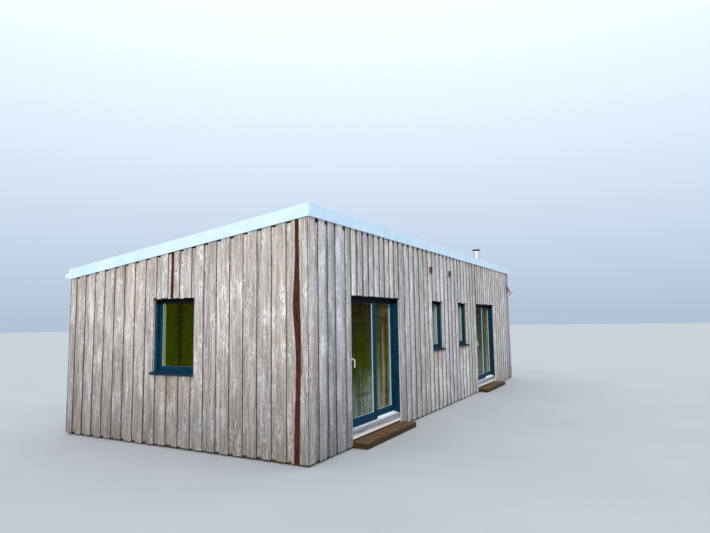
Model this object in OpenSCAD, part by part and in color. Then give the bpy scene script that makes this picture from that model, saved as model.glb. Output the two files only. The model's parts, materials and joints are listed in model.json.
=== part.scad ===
// Single-storey timber cabin with a shallow single-pitch roof, two sliding glazed doors
// and two narrow windows in the long front, and a window in each end wall.
// Millimetres. X runs along the front, Y from front to back, Z up; the ground is Z = 0.

/* [Building] */
// Length of the front over the cladding
wall_len = 12300; // [11900:10:14500]
// Depth of the end walls over the cladding
wall_dep = 5380; // [4700:10:6800]
// Whole thickness of a wall, cladding to lining
wall_t = 280; // [210:5:300]
// Depth of the boards and battens outside the wall's core
cladding_t = 45; // [35:1:60]
// Height of the cladding's lower edge above the ground
cladding_gap = 30; // [10:1:80]
// Height of the base frame that the walls stand on
base_h = 120; // [100:1:160]
// Width of the base frame's timbers
base_timber_w = 75; // [47:1:150]
// Largest spacing of the base frame's cross timbers
joist_spacing = 620; // [400:10:900]
// Height of the finished floor above the ground
floor_h = 262; // [220:1:300]

/* [Roof] */
// Height of the roof's edge at the front wall
roof_front_h = 3680; // [3500:5:4000]
// Height of the roof's edge at the rear wall
roof_rear_h = 3045; // [2900:5:3150]
// Thickness of the roof deck
deck_t = 80; // [60:1:100]
// Thickness of the roof panels between their ribs
panel_t = 40; // [25:1:60]
// Height of the roof panels' ribs
rib_h = 30; // [18:1:40]
// Largest spacing of the ribs
rib_spacing = 335; // [200:5:500]
// Width of a rib at its foot
rib_foot_w = 68; // [40:1:90]
// Width of a rib at its crown
rib_crown_w = 30; // [15:1:38]
// How far the roof panels run out over the gutter
eave_overhang = 35; // [20:1:50]

/* [Edge trim] */
// Height of the folded trim's face
trim_face_h = 190; // [175:1:230]
// How far the trim stands out from the cladding
trim_proud = 30; // [15:1:50]
// Width of the trim's flange on the roof
trim_flange_w = 120; // [80:5:200]
// Thickness of the trim
trim_t = 3; // [2:0.5:5]

/* [Rainwater] */
// Width of the gutter
gutter_w = 100; // [80:1:130]
// Height of the gutter
gutter_h = 78; // [60:1:85]
// Thickness of the gutter
gutter_t = 4; // [3:0.5:6]
// Outer diameter of the downpipe
downpipe_d = 68; // [50:1:72]
// Distance of the downpipe from the right end wall
downpipe_inset = 320; // [200:10:1200]
// Height of the downpipe's outlet above the ground
outlet_h = 110; // [90:5:250]
// Number of brackets that hold the downpipe
pipe_brackets = 3; // [2:1:5]

/* [Doors] */
// Width of a doorway between the cladding's edges
door_w = 1890; // [1700:5:2100]
// Distance of the first doorway from the left end wall
door_1_left = 1257; // [700:1:1500]
// Distance of the second doorway from the right end wall
door_2_right = 2060; // [700:1:2200]
// Height of the heads of all the openings above the ground
head_h = 2392; // [2200:1:2500]
// How far the cladding laps each jamb of a door frame
jamb_lap = 30; // [20:1:40]
// How far the cladding laps the head of a door frame
head_lap = 60; // [40:1:75]
// Depth of a door frame, from the back of the cladding
door_frame_d = 159; // [158:1:162]
// Width of a door frame's face
door_frame_w = 60; // [45:1:80]
// Height of the frame's cill under the fixed leaf
door_cill_h = 38; // [30:1:60]
// Width of a leaf's stiles
stile_w = 115; // [80:1:130]
// Height of a leaf's bottom rail
bottom_rail_h = 132; // [100:1:180]
// Height of a leaf's top rail
top_rail_h = 90; // [70:1:130]
// Thickness of a leaf
leaf_t = 46; // [42:1:48]
// Overlap of the two leaves where they meet
leaf_overlap = 130; // [100:1:150]
// Distance of the sliding leaf behind the cladding's face
leaf_recess = 86; // [80:1:92]
// Running clearance round a sliding leaf
running_gap = 6; // [5:0.5:8]
// Distance between the sliding and the fixed leaf
leaf_gap = 8; // [6:0.5:10]
// Height of the handle's neck above the ground
handle_h = 1375; // [1100:5:1500]
// Length of the handle's grip below its neck
handle_len = 135; // [110:1:180]
// Diameter of the handle's neck and grip
handle_d = 16; // [12:1:18]
// How far the handle's grip stands off the leaf
handle_reach = 58; // [50:1:62]
// Distance of the handle from the leaf's edge
handle_inset = 72; // [50:1:90]

/* [Thresholds and steps] */
// Thickness of the board below each door
cill_board_t = 40; // [30:1:45]
// Thickness of the door track
track_t = 12; // [8:1:16]
// Width of the track's rail
rail_w = 6; // [4:1:8]
// Height of the track's rail
rail_h = 5; // [3:0.5:6]
// Radius of a leaf's rollers
roller_r = 11; // [9:1:14]
// Gap between a roller and its rail
roller_gap = 0.3; // [0.1:0.1:0.5]
// Length of a step
step_len = 1980; // [1950:5:2400]
// Depth of a step in front of the wall
step_dep = 245; // [200:5:320]
// Height of a step
step_h = 97; // [70:1:115]

/* [Windows] */
// Width of a narrow window
narrow_w = 700; // [500:5:800]
// Height of the narrow windows' lower edge above the ground
narrow_h = 1330; // [900:5:1600]
// How far the pair of narrow windows stands right of the middle between the doors
narrow_shift = 420; // [0:5:420]
// Distance between the two narrow windows
narrow_space = 1144; // [600:1:1200]
// Width of an end window
end_window_w = 920; // [600:5:1200]
// Height of the end windows' lower edge above the ground
end_window_h = 1185; // [800:5:1500]
// Distance of an end window from the front wall
end_window_left = 2212; // [1500:1:2400]
// How far the cladding laps the head of a window frame
window_head_lap = 45; // [30:1:60]
// Depth of the window frames behind the cladding's face
window_recess = 65; // [50:1:75]
// Depth of a window frame
window_frame_d = 130; // [115:1:135]
// Width of a window frame's face
window_frame_w = 45; // [35:1:60]
// Width of the sash inside a window frame
sash_w = 60; // [45:1:75]
// Depth of the sash behind the frame's face
sash_setback = 40; // [25:1:50]
// Thickness of the sealed glass units
glass_t = 24; // [20:1:28]
// Depth of the lip that holds the glass on the outside
glass_lip = 12; // [8:1:14]
// How far the glass runs in behind the lip
glass_bite = 15; // [10:1:20]
// Thickness of a sill at its nose
sill_nose_t = 8; // [5:1:12]
// Thickness of a sill at the frame
sill_back_t = 20; // [14:1:28]
// How far a sill stands out from the cladding
sill_proud = 42; // [25:1:60]
// Depth of the sill's turned-down nose
sill_drip = 26; // [15:1:40]
// How far a sill runs past each side of its opening
sill_ear = 22; // [15:1:60]

/* [Fittings] */
// Width and height of a wall vent
vent_w = 140; // [120:5:220]
// How far a vent stands out from the cladding
vent_t = 24; // [18:1:40]
// Number of blades in a vent
vent_blades = 6; // [4:1:8]
// Distance of the vents' centres below the front edge of the roof
vent_drop = 600; // [400:5:800]
// How far the pair of vents stands left of the middle between the doors
vent_shift = 258; // [0:2:400]
// Distance between the vents' centres
vent_space = 1280; // [800:5:1500]
// Diameter of the flue
flue_d = 180; // [120:1:200]
// Distance of the flue from the right end wall
flue_right = 1610; // [1000:10:2400]
// Distance of the flue from the front wall
flue_back = 600; // [450:10:1200]
// Height of the flue's cap above the roof beside it
flue_rise = 606; // [500:2:1000]
// Diameter of the flue's cap
flue_cap_d = 262; // [210:2:320]
// Clear height under the flue's cap
flue_vent_h = 38; // [25:1:80]
// Height of the flue's weathering collar
collar_h = 110; // [80:5:160]
// Width of the collar's base plate
collar_plate_w = 420; // [380:10:600]
// Distance of the wall lamp from the right end wall
lamp_right = 200; // [120:5:600]
// Distance of the wall lamp's pivot below the front edge of the roof
lamp_drop = 840; // [460:5:1000]
// Distance of the lamp's pivot from the wall
lamp_reach = 105; // [95:1:140]
// Height of the lamp bracket's wall plate above the pivot
lamp_rise = 190; // [150:5:200]
// Width of the lamp's head
lamp_w = 210; // [150:5:260]
// Height of the lamp's head along its slope
lamp_len = 230; // [180:5:280]
// Thickness of the lamp's head
lamp_t = 38; // [30:1:50]
// Tilt of the lamp's head from upright
lamp_tilt = 39; // [20:1:50]

/* [Hidden] */
$fn = 48;
e = 1;
// Hairline between sloping faces that rest on each other
seat = 0.1;
x0 = -wall_len / 2;
x1 = wall_len / 2;
y0 = -wall_dep / 2;
y1 = wall_dep / 2;
door_2_left = wall_len - door_2_right - door_w;
between_doors = (door_1_left + door_w + door_2_left) / 2;
narrow_1_left = between_doors + narrow_shift - narrow_space / 2 - narrow_w;
narrow_2_left = narrow_1_left + narrow_w + narrow_space;
vent_1_left = between_doors - vent_shift - vent_space / 2;
vent_h = roof_front_h - vent_drop;
lamp_h = roof_front_h - lamp_drop;
door_lefts = [door_1_left, door_2_left];
narrow_lefts = [narrow_1_left, narrow_2_left];

// Slope of the roof, and the heights of its layers at a distance Y
roof_fall = (roof_front_h - roof_rear_h) / wall_dep;
roof_angle = atan(roof_fall);
function roof_z(y) = roof_front_h - (y - y0) * roof_fall;
flange_drop = trim_t / cos(roof_angle);
crown_drop = flange_drop + seat;
pan_drop = crown_drop + rib_h;
deck_drop = pan_drop + panel_t;
ceiling_drop = deck_drop + deck_t;

// Sizes of the sliding doors, across from the outside of the left jamb
frame_w = door_w + 2 * jamb_lap;
frame_head_z = head_h + head_lap;
clear_w = frame_w - 2 * door_frame_w;
clear_head_z = frame_head_z - door_frame_w;
leaf_w = (clear_w + leaf_overlap) / 2;
leaf_foot_z = floor_h + track_t + rail_h + running_gap;
leaf_head_z = clear_head_z - running_gap;
fixed_foot_z = floor_h + door_cill_h;
fixed_front = leaf_recess + leaf_t + leaf_gap;
slide_left = door_frame_w + running_gap;
fixed_left = frame_w - door_frame_w - leaf_w;
roller_z = floor_h + track_t + rail_h + roller_gap + roller_r;

base_color = "#3b342c";
timber_color = "#aaa6a6";
deck_color = "#8f8a80";
trim_color = "#dde8f0";
blue_color = "#123f5a";
glass_color = "#7d8f86";
silver_color = "#cfd8dc";
sleeper_color = "#4d3a20";
vent_color = "#63362f";

// A prism whose outline is drawn in the YZ plane, run along X from xa to xb
module along_x(xa, xb, outline) {
    translate([xa, 0, 0])
        rotate([90, 0, 90])
            linear_extrude(xb - xa)
                polygon(outline);
}

// A stretch of front or rear wall under the roof: its outline hangs the cladding over the base
module long_wall(xa, xb, face_y, way, foot_z) {
    inner_y = face_y + way * wall_t;
    core_y = face_y + way * cladding_t;
    skirt = foot_z < base_h;
    along_x(xa, xb, concat(
        [[face_y, foot_z]],
        skirt ? [[core_y, foot_z], [core_y, base_h], [inner_y, base_h]] : [[inner_y, foot_z]],
        [[inner_y, roof_z(inner_y) - ceiling_drop - seat],
         [face_y, roof_z(face_y) - ceiling_drop - seat]]));
}

// The skirt of cladding that turns the corner below a long wall's end
module corner_skirt(x, face_y, way) {
    translate([x, way > 0 ? face_y : face_y - wall_t, cladding_gap])
        cube([cladding_t, wall_t, base_h - cladding_gap + e]);
}

module at_narrow(left) {
    translate([x0 + left, y0, narrow_h])
        children();
}

// Places an end window's pieces as seen from outside that end, for the side way = -1 or 1
module at_end(way) {
    mirror([way < 0 ? 0 : 1, 0, 0])
        translate([x0, y0 + end_window_left + end_window_w, end_window_h])
            rotate([0, 0, -90])
                children();
}

// The hole for a window, taller behind the cladding that laps the head of its frame
module window_hole(width, foot_z) {
    translate([0, -e, 0])
        cube([width, wall_t + 2 * e, head_h - foot_z]);
    translate([0, cladding_t, 0])
        cube([width, wall_t - cladding_t + e, head_h + window_head_lap - foot_z]);
}

// An end wall between the front and rear walls, for the side way = -1 or 1
module end_wall(way) {
    face_x = way * wall_len / 2;
    ya = y0 + wall_t;
    yb = y1 - wall_t;
    slab_x = way < 0 ? face_x : face_x - wall_t;
    skirt_x = way < 0 ? face_x + cladding_t : face_x - wall_t;
    difference() {
        along_x(slab_x, slab_x + wall_t, [[ya, cladding_gap], [yb, cladding_gap],
            [yb, roof_z(yb) - ceiling_drop - seat], [ya, roof_z(ya) - ceiling_drop - seat]]);
        translate([skirt_x - (way < 0 ? 0 : e), ya - e, cladding_gap - e])
            cube([wall_t - cladding_t + e, yb - ya + 2 * e, base_h - cladding_gap + e]);
        at_end(way)
            window_hole(end_window_w, end_window_h);
    }
}

// The rim and cross timbers that the floor and walls stand on
module base_frame() {
    length = wall_len - 2 * cladding_t;
    depth = wall_dep - 2 * cladding_t;
    bays = 2 * ceil(length / joist_spacing / 2);
    bay = (length - base_timber_w) / bays;
    half_bay = (depth - base_timber_w) / 2;
    color(base_color)
        linear_extrude(base_h)
            difference() {
                square([length, depth], center = true);
                for (i = [0:bays - 1], j = [0, 1])
                    translate([-length / 2 + base_timber_w + i * bay,
                               -depth / 2 + base_timber_w + j * half_bay])
                        square([bay - base_timber_w, half_bay - base_timber_w]);
            }
}

// The floor inside the walls, with a tongue under each door frame
module floor_deck() {
    tongue_y = cladding_t + cill_board_t;
    color(deck_color)
        translate([0, 0, base_h])
            linear_extrude(floor_h - base_h)
                union() {
                    square([wall_len - 2 * wall_t, wall_dep - 2 * wall_t], center = true);
                    for (left = door_lefts)
                        translate([x0 + left, y0 + tongue_y])
                            square([door_w, wall_t - tongue_y + e]);
                }
}

// A stretch of the front wall, rebated behind the cladding for the door frames
module front_wall(xa, xb, foot_z) {
    difference() {
        long_wall(xa, xb, y0, 1, foot_z);
        for (left = door_lefts)
            translate([x0 + left - jamb_lap, y0 + cladding_t, floor_h])
                cube([frame_w, wall_t, frame_head_z - floor_h]);
    }
}

module front_wall_left() {
    color(timber_color) {
        front_wall(x0, x0 + door_1_left, cladding_gap);
        corner_skirt(x0, y0, 1);
    }
}

module front_wall_over_door_1() {
    color(timber_color)
        front_wall(x0 + door_1_left, x0 + door_1_left + door_w, head_h);
}

module front_wall_middle() {
    color(timber_color)
        difference() {
            front_wall(x0 + door_1_left + door_w, x0 + door_2_left, cladding_gap);
            for (left = narrow_lefts)
                at_narrow(left)
                    window_hole(narrow_w, narrow_h);
        }
}

module front_wall_over_door_2() {
    color(timber_color)
        front_wall(x0 + door_2_left, x0 + door_2_left + door_w, head_h);
}

module front_wall_right() {
    color(timber_color) {
        front_wall(x0 + door_2_left + door_w, x1, cladding_gap);
        corner_skirt(x1 - cladding_t, y0, 1);
    }
}

module rear_wall() {
    color(timber_color) {
        long_wall(x0, x1, y1, -1, cladding_gap);
        corner_skirt(x0, y1, -1);
        corner_skirt(x1 - cladding_t, y1, -1);
    }
}

module left_end_wall() {
    color(timber_color)
        end_wall(-1);
}

module right_end_wall() {
    color(timber_color)
        end_wall(1);
}

module roof_deck() {
    color(deck_color)
        along_x(x0, x1, [
            [y0, roof_z(y0) - ceiling_drop], [y1, roof_z(y1) - ceiling_drop],
            [y1, roof_z(y1) - deck_drop - seat], [y0, roof_z(y0) - deck_drop - seat]]);
}

// Ribbed roof panels: one outline across the ribs, run down the slope
module roof_panels() {
    ribs = ceil((wall_len - rib_foot_w) / rib_spacing);
    pitch = (wall_len - rib_foot_w) / ribs;
    tilt_h = panel_t * cos(roof_angle);
    crown_h = tilt_h + rib_h * cos(roof_angle);
    run = (wall_dep + trim_proud + eave_overhang) / cos(roof_angle) + rib_h + panel_t;
    rib_slant = (rib_foot_w - rib_crown_w) / 2;
    outline = concat(
        [[x0, 0]],
        [for (i = [0:ribs]) let (x = x0 + i * pitch) each
            [[x, tilt_h], [x + rib_slant, crown_h], [x + rib_slant + rib_crown_w, crown_h],
             [x + rib_foot_w, tilt_h]]],
        [[x1, 0]]);
    color(trim_color)
        intersection() {
            translate([0, y0, roof_z(y0) - deck_drop])
                rotate([-roof_angle, 0, 0])
                    translate([0, run - panel_t - rib_h, 0])
                        rotate([90, 0, 0])
                            linear_extrude(run)
                                polygon(outline);
            translate([x0 - e, y0, 0])
                cube([wall_len + 2 * e, wall_dep + trim_proud + eave_overhang, roof_front_h + e]);
        }
}

// Plan of one mitred side of the edge trim, run through the full height
module trim_mitre(corners) {
    linear_extrude(roof_front_h + 2 * trim_face_h)
        polygon(corners);
}

module front_trim() {
    face_y = y0 - trim_proud;
    top_z = roof_z(face_y);
    foot_z = top_z - trim_face_h;
    reach = wall_len / 2 + trim_proud;
    flange_y = face_y + trim_flange_w;
    color(trim_color)
        intersection() {
            along_x(-reach, reach, [
                [face_y, top_z], [flange_y, roof_z(flange_y)],
                [flange_y, roof_z(flange_y) - flange_drop],
                [face_y + trim_t, roof_z(face_y + trim_t) - flange_drop],
                [face_y + trim_t, foot_z + trim_t], [y0 - seat, foot_z + trim_t],
                [y0 - seat, foot_z], [face_y, foot_z]]);
            trim_mitre([[-reach, face_y], [reach, face_y],
                [reach - trim_flange_w, flange_y], [-reach + trim_flange_w, flange_y]]);
        }
}

module rear_trim() {
    face_y = y1 + trim_proud;
    foot_z = roof_z(face_y) - trim_face_h;
    top_z = roof_z(face_y) - deck_drop - seat;
    color(trim_color)
        along_x(x0 - trim_proud + trim_t, x1 + trim_proud - trim_t, [
            [face_y, top_z], [face_y, foot_z], [y1 + seat, foot_z],
            [y1 + seat, foot_z + trim_t], [face_y - trim_t, foot_z + trim_t],
            [face_y - trim_t, top_z]]);
}

// The trim that follows the slope at one end, for the side way = -1 or 1
module end_trim(way) {
    reach = wall_len / 2 + trim_proud;
    face_y = y0 - trim_proud;
    rear_y = y1 + trim_proud;
    run = (rear_y - face_y) / cos(roof_angle) + 2 * trim_face_h;
    fold = trim_face_h * cos(roof_angle);
    outline = [[-reach, 0], [-reach, -fold], [x0 - seat, -fold], [x0 - seat, -fold + trim_t],
        [-reach + trim_t, -fold + trim_t], [-reach + trim_t, -trim_t],
        [-reach + trim_flange_w, -trim_t], [-reach + trim_flange_w, 0]];
    color(trim_color)
        mirror([way < 0 ? 0 : 1, 0, 0])
            difference() {
                intersection() {
                    translate([0, face_y, roof_z(face_y)])
                        rotate([-roof_angle, 0, 0])
                            translate([0, run - trim_face_h, 0])
                                rotate([90, 0, 0])
                                    linear_extrude(run)
                                        polygon(outline);
                    trim_mitre([[-reach, face_y], [-reach + trim_flange_w, face_y + trim_flange_w],
                        [-reach + trim_flange_w, rear_y], [-reach, rear_y]]);
                }
                // The fold under the face stops where the rear trim passes
                translate([-reach + trim_t, y1, roof_z(rear_y) - trim_face_h - e])
                    cube([trim_proud, trim_proud + e, trim_face_h / 2]);
            }
}

module left_trim() {
    end_trim(-1);
}

module right_trim() {
    end_trim(1);
}

// Box gutter with a chamfered foot and closed ends, hung on the rear trim
gutter_y = y1 + trim_proud;
gutter_z = roof_z(gutter_y + eave_overhang) - deck_drop - running_gap - gutter_h;
downpipe_x = x1 - downpipe_inset;
downpipe_y = gutter_y + gutter_w / 2;
module gutter() {
    bevel = gutter_w / 5;
    inset = gutter_t;
    color(trim_color)
        difference() {
            along_x(x0 - trim_proud, x1 + trim_proud, [
                [gutter_y, gutter_z], [gutter_y + gutter_w - bevel, gutter_z],
                [gutter_y + gutter_w, gutter_z + bevel], [gutter_y + gutter_w, gutter_z + gutter_h],
                [gutter_y, gutter_z + gutter_h]]);
            along_x(x0 - trim_proud + inset, x1 + trim_proud - inset, [
                [gutter_y + inset, gutter_z + inset],
                [gutter_y + gutter_w - bevel - inset / 2, gutter_z + inset],
                [gutter_y + gutter_w - inset, gutter_z + bevel + inset / 2],
                [gutter_y + gutter_w - inset, gutter_z + gutter_h + e],
                [gutter_y + inset, gutter_z + gutter_h + e]]);
        }
}

// Round pipe under the gutter with a turned-out shoe, held to the wall by brackets
module downpipe() {
    shoe_r = downpipe_d * 0.9;
    shoe_z = outlet_h + downpipe_d / 2 + shoe_r;
    top_z = gutter_z;
    bracket_h = 30;
    collar_d = downpipe_d + 12;
    first_z = shoe_z + 150;
    last_z = top_z - 300;
    color(trim_color)
        translate([downpipe_x, downpipe_y, 0]) {
            translate([0, 0, shoe_z])
                cylinder(h = top_z - shoe_z, d = downpipe_d);
            translate([0, 0, top_z - 60])
                cylinder(h = 60, d = collar_d);
            translate([0, shoe_r, shoe_z])
                rotate([-90, 0, -90])
                    rotate_extrude(angle = 65)
                        translate([shoe_r, 0])
                            circle(d = downpipe_d);
            for (i = [0:pipe_brackets - 1]) {
                bracket_z = first_z + i * (last_z - first_z) / (pipe_brackets - 1);
                translate([0, 0, bracket_z])
                    cylinder(h = bracket_h, d = collar_d);
                translate([-18, y1 - downpipe_y, bracket_z])
                    cube([36, downpipe_y - y1, bracket_h]);
            }
        }
}

// A pane's frame: a slab with a sight hole and a rebate that takes the glass from behind.
// Its size is [width, depth, height], and lip is the solid left in front of the glass.
module glazed_slab(size, side, foot, head, lip) {
    difference() {
        cube(size);
        translate([side, -e, foot])
            cube([size[0] - 2 * side, size[1] + 2 * e, size[2] - foot - head]);
        translate([side - glass_bite, lip, foot - glass_bite])
            cube([size[0] - 2 * side + 2 * glass_bite, size[1] - lip + e,
                  size[2] - foot - head + 2 * glass_bite]);
    }
}

// The glass that fills the rebate of a glazed slab
module pane(size, side, foot, head, lip) {
    translate([side - glass_bite, lip, foot - glass_bite])
        cube([size[0] - 2 * side + 2 * glass_bite, glass_t,
              size[2] - foot - head + 2 * glass_bite]);
}

// Places a piece from the left edge of a doorway, or from the left side of its frame
module at_door(left) {
    translate([x0 + left, y0, 0])
        children();
}

module at_frame(left) {
    translate([x0 + left - jamb_lap, y0, 0])
        children();
}

// The frame of a sliding door: jambs and head round both leaves, a cill under the fixed one
module door_frame(left) {
    back = cladding_t + door_frame_d;
    color(blue_color)
        at_frame(left) {
            for (x = [0, frame_w - door_frame_w])
                translate([x, cladding_t, floor_h])
                    cube([door_frame_w, door_frame_d, frame_head_z - floor_h]);
            translate([door_frame_w, cladding_t, clear_head_z])
                cube([clear_w, door_frame_d, door_frame_w]);
            translate([door_frame_w, fixed_front, floor_h])
                cube([clear_w, back - fixed_front, door_cill_h]);
        }
}

// Sizes and rails of the leaves; the two panes end at the same height
slide_size = [leaf_w, leaf_t, leaf_head_z - leaf_foot_z];
fixed_size = [leaf_w, leaf_t, clear_head_z - fixed_foot_z];
fixed_foot_rail = bottom_rail_h - door_cill_h / 2;
fixed_head_rail = top_rail_h + running_gap;

module fixed_leaf(left) {
    color(blue_color)
        at_frame(left)
            translate([fixed_left, fixed_front, fixed_foot_z])
                glazed_slab(fixed_size, stile_w, fixed_foot_rail, fixed_head_rail, glass_lip);
}

// The sliding leaf, with the two rollers that carry it on the track's rail
module sliding_leaf(left) {
    roller_inset = stile_w / 2;
    roller_w = 2 * rail_w;
    rail_y = leaf_recess + leaf_t / 2;
    color(blue_color)
        at_frame(left) {
            translate([slide_left, leaf_recess, leaf_foot_z])
                glazed_slab(slide_size, stile_w, bottom_rail_h, top_rail_h, glass_lip);
            for (x = [roller_inset, leaf_w - roller_inset])
                translate([slide_left + x, rail_y + roller_w / 2, roller_z])
                    rotate([90, 0, 0])
                        cylinder(h = roller_w, r = roller_r);
        }
}

module sliding_glass(left) {
    color(glass_color)
        at_frame(left)
            translate([slide_left, leaf_recess, leaf_foot_z])
                pane(slide_size, stile_w, bottom_rail_h, top_rail_h, glass_lip);
}

// A lever handle: a round rose, a neck with a quarter bend, and a grip that hangs from it
module handle(left) {
    bend_r = handle_d * 2;
    rose_t = 7;
    tip_h = 4;
    color(silver_color)
        at_frame(left)
            translate([slide_left + handle_inset, leaf_recess, handle_h]) {
                translate([0, -rose_t, 0])
                    rotate([-90, 0, 0])
                        cylinder(h = rose_t, d = handle_d * 2.8);
                translate([0, bend_r - handle_reach, 0])
                    rotate([-90, 0, 0])
                        cylinder(h = handle_reach - bend_r, d = handle_d);
                translate([0, bend_r - handle_reach, -bend_r])
                    rotate([90, 0, -90])
                        rotate_extrude(angle = 90)
                            translate([bend_r, 0])
                                circle(d = handle_d);
                translate([0, -handle_reach, tip_h - handle_len])
                    cylinder(h = handle_len - tip_h - bend_r, d = handle_d);
                translate([0, -handle_reach, -handle_len])
                    cylinder(h = tip_h, d1 = handle_d * 0.6, d2 = handle_d);
            }
}

module door_1_frame() {
    door_frame(door_1_left);
}

module door_1_fixed_leaf() {
    fixed_leaf(door_1_left);
}

module door_1_sliding_leaf() {
    sliding_leaf(door_1_left);
}

module door_1_sliding_glass() {
    sliding_glass(door_1_left);
}

module door_1_handle() {
    handle(door_1_left);
}

module door_2_frame() {
    door_frame(door_2_left);
}

module door_2_fixed_leaf() {
    fixed_leaf(door_2_left);
}

module door_2_sliding_leaf() {
    sliding_leaf(door_2_left);
}

module door_2_sliding_glass() {
    sliding_glass(door_2_left);
}

module door_2_handle() {
    handle(door_2_left);
}

module fixed_door_glass() {
    color(glass_color)
        for (left = door_lefts)
            at_frame(left)
                translate([fixed_left, fixed_front, fixed_foot_z])
                    pane(fixed_size, stile_w, fixed_foot_rail, fixed_head_rail, glass_lip);
}

// A flat track plate with one rail for the rollers in each doorway
module door_tracks() {
    rail_y = leaf_recess + leaf_t / 2;
    plate_y = cladding_t + cill_board_t / 2;
    color(silver_color)
        for (left = door_lefts)
            at_frame(left) {
                translate([door_frame_w, plate_y, floor_h])
                    cube([clear_w, fixed_front - plate_y, track_t]);
                translate([door_frame_w, rail_y - rail_w / 2, floor_h + track_t])
                    cube([clear_w, rail_w, rail_h]);
            }
}

module cill_boards() {
    color(timber_color)
        for (left = door_lefts)
            at_door(left)
                translate([0, cladding_t, base_h])
                    cube([door_w, cill_board_t, floor_h - base_h]);
}

window_head_z = head_h + window_head_lap;
narrow_size = [narrow_w, window_frame_d, window_head_z - narrow_h];
end_size = [end_window_w, window_frame_d, window_head_z - end_window_h];

sight_w = window_frame_w + sash_w;
sash_lip = sash_setback + glass_lip;

// A window's frame and its sash in one: a glazed slab whose front is stepped back at the sash
module window_frame(size) {
    step_size = [size[0] - 2 * window_frame_w, sash_setback + e, size[2] - 2 * window_frame_w];
    translate([0, window_recess, 0])
        difference() {
            glazed_slab(size, sight_w, sight_w, sight_w, sash_lip);
            translate([window_frame_w, -e, window_frame_w])
                cube(step_size);
        }
}

module window_pane(size) {
    translate([0, window_recess, 0])
        pane(size, sight_w, sight_w, sight_w, sash_lip);
}

module narrow_window_1_frame() {
    color(blue_color)
        at_narrow(narrow_1_left)
            window_frame(narrow_size);
}

module narrow_window_2_frame() {
    color(blue_color)
        at_narrow(narrow_2_left)
            window_frame(narrow_size);
}

module left_window_frame() {
    color(blue_color)
        at_end(-1)
            window_frame(end_size);
}

module right_window_frame() {
    color(blue_color)
        at_end(1)
            window_frame(end_size);
}

module window_glass() {
    color(glass_color) {
        for (left = narrow_lefts)
            at_narrow(left)
                window_pane(narrow_size);
        for (way = [-1, 1])
            at_end(way)
                window_pane(end_size);
    }
}

// A sloping sill: its back part fits the opening, and its nose runs past both sides
module sill(width) {
    nose_z = sill_nose_t;
    face_z = nose_z + (sill_back_t - nose_z) * sill_proud / (sill_proud + window_recess);
    along_x(0, width, [[0, 0], [window_recess, 0], [window_recess, sill_back_t], [0, face_z]]);
    along_x(-sill_ear, width + sill_ear, [[0, 0], [0, face_z], [-sill_proud, nose_z],
        [-sill_proud, -sill_drip], [-sill_proud + sill_nose_t, -sill_drip],
        [-sill_proud + sill_nose_t, 0]]);
}

module window_sills() {
    color(blue_color) {
        for (left = narrow_lefts)
            at_narrow(left)
                sill(narrow_w);
        for (way = [-1, 1])
            at_end(way)
                sill(end_window_w);
    }
}

// Square louvred vents: a rim on the wall round sloping blades
module wall_vents() {
    rim = vent_w / 11;
    plate_t = 4;
    pitch = (vent_w - 2 * rim) / vent_blades;
    blade_h = pitch * 0.3;
    rise = pitch * 0.55;
    set_in = 2;
    color(vent_color)
        for (i = [0, 1])
            translate([x0 + vent_1_left + i * vent_space - vent_w / 2, y0, vent_h - vent_w / 2]) {
                difference() {
                    translate([0, -vent_t, 0])
                        cube([vent_w, vent_t, vent_w]);
                    translate([rim, -vent_t - e, rim])
                        cube([vent_w - 2 * rim, vent_t - plate_t + e, vent_w - 2 * rim]);
                }
                for (k = [0:vent_blades - 1])
                    translate([0, 0, rim + (k + 0.08) * pitch])
                        along_x(rim - e, vent_w - rim + e, [
                            [-plate_t + e, rise], [-plate_t + e, rise + blade_h],
                            [-vent_t + set_in, blade_h], [-vent_t + set_in, 0]]);
            }
}

// A timber step whose back is notched round the jambs and runs in below the door
module timber_step(left) {
    color(sleeper_color)
        at_door(left)
            linear_extrude(step_h)
                union() {
                    translate([0, -step_dep])
                        square([step_len, step_dep]);
                    square([door_w, cladding_t]);
                }
}

module step_1() {
    timber_step(door_1_left);
}

module step_2() {
    timber_step(door_2_left);
}

flue_x = x1 - flue_right;
flue_y = y0 + flue_back;
flue_cap_t = 14;
flue_end_z = roof_z(flue_y) + flue_rise - flue_cap_t - flue_vent_h;
crown_z = roof_z(flue_y) - crown_drop + seat;

// Cuts away what lies under the plane of the roof panels' crowns at the flue
module above_crowns(lift) {
    difference() {
        children();
        translate([0, 0, crown_z + lift])
            rotate([-roof_angle, 0, 0])
                translate([-collar_plate_w, -collar_plate_w, -collar_plate_w])
                    cube([2 * collar_plate_w, 2 * collar_plate_w, collar_plate_w]);
    }
}

module flue_pipe() {
    color(silver_color)
        translate([flue_x, flue_y, 0])
            above_crowns(0)
                difference() {
                    translate([0, 0, crown_z - flue_d])
                        cylinder(h = flue_end_z - crown_z + flue_d, d = flue_d);
                    translate([0, 0, flue_end_z - flue_d / 2])
                        cylinder(h = flue_d, d = flue_d - 12);
                }
}

// A flat cap with a turned-down rim on three feet that stand on the pipe's end
module flue_cap() {
    foot_w = 5;
    color(silver_color)
        translate([flue_x, flue_y, flue_end_z]) {
            difference() {
                translate([0, 0, flue_vent_h - 10])
                    cylinder(h = flue_cap_t + 10, d = flue_cap_d);
                translate([0, 0, flue_vent_h - 10 - e])
                    cylinder(h = 10 + e, d = flue_cap_d - 8);
            }
            for (a = [0, 120, 240])
                rotate([0, 0, a])
                    translate([flue_d / 2 - foot_w - 0.5, -12, 0])
                        cube([foot_w, 24, flue_vent_h + e]);
        }
}

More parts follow.
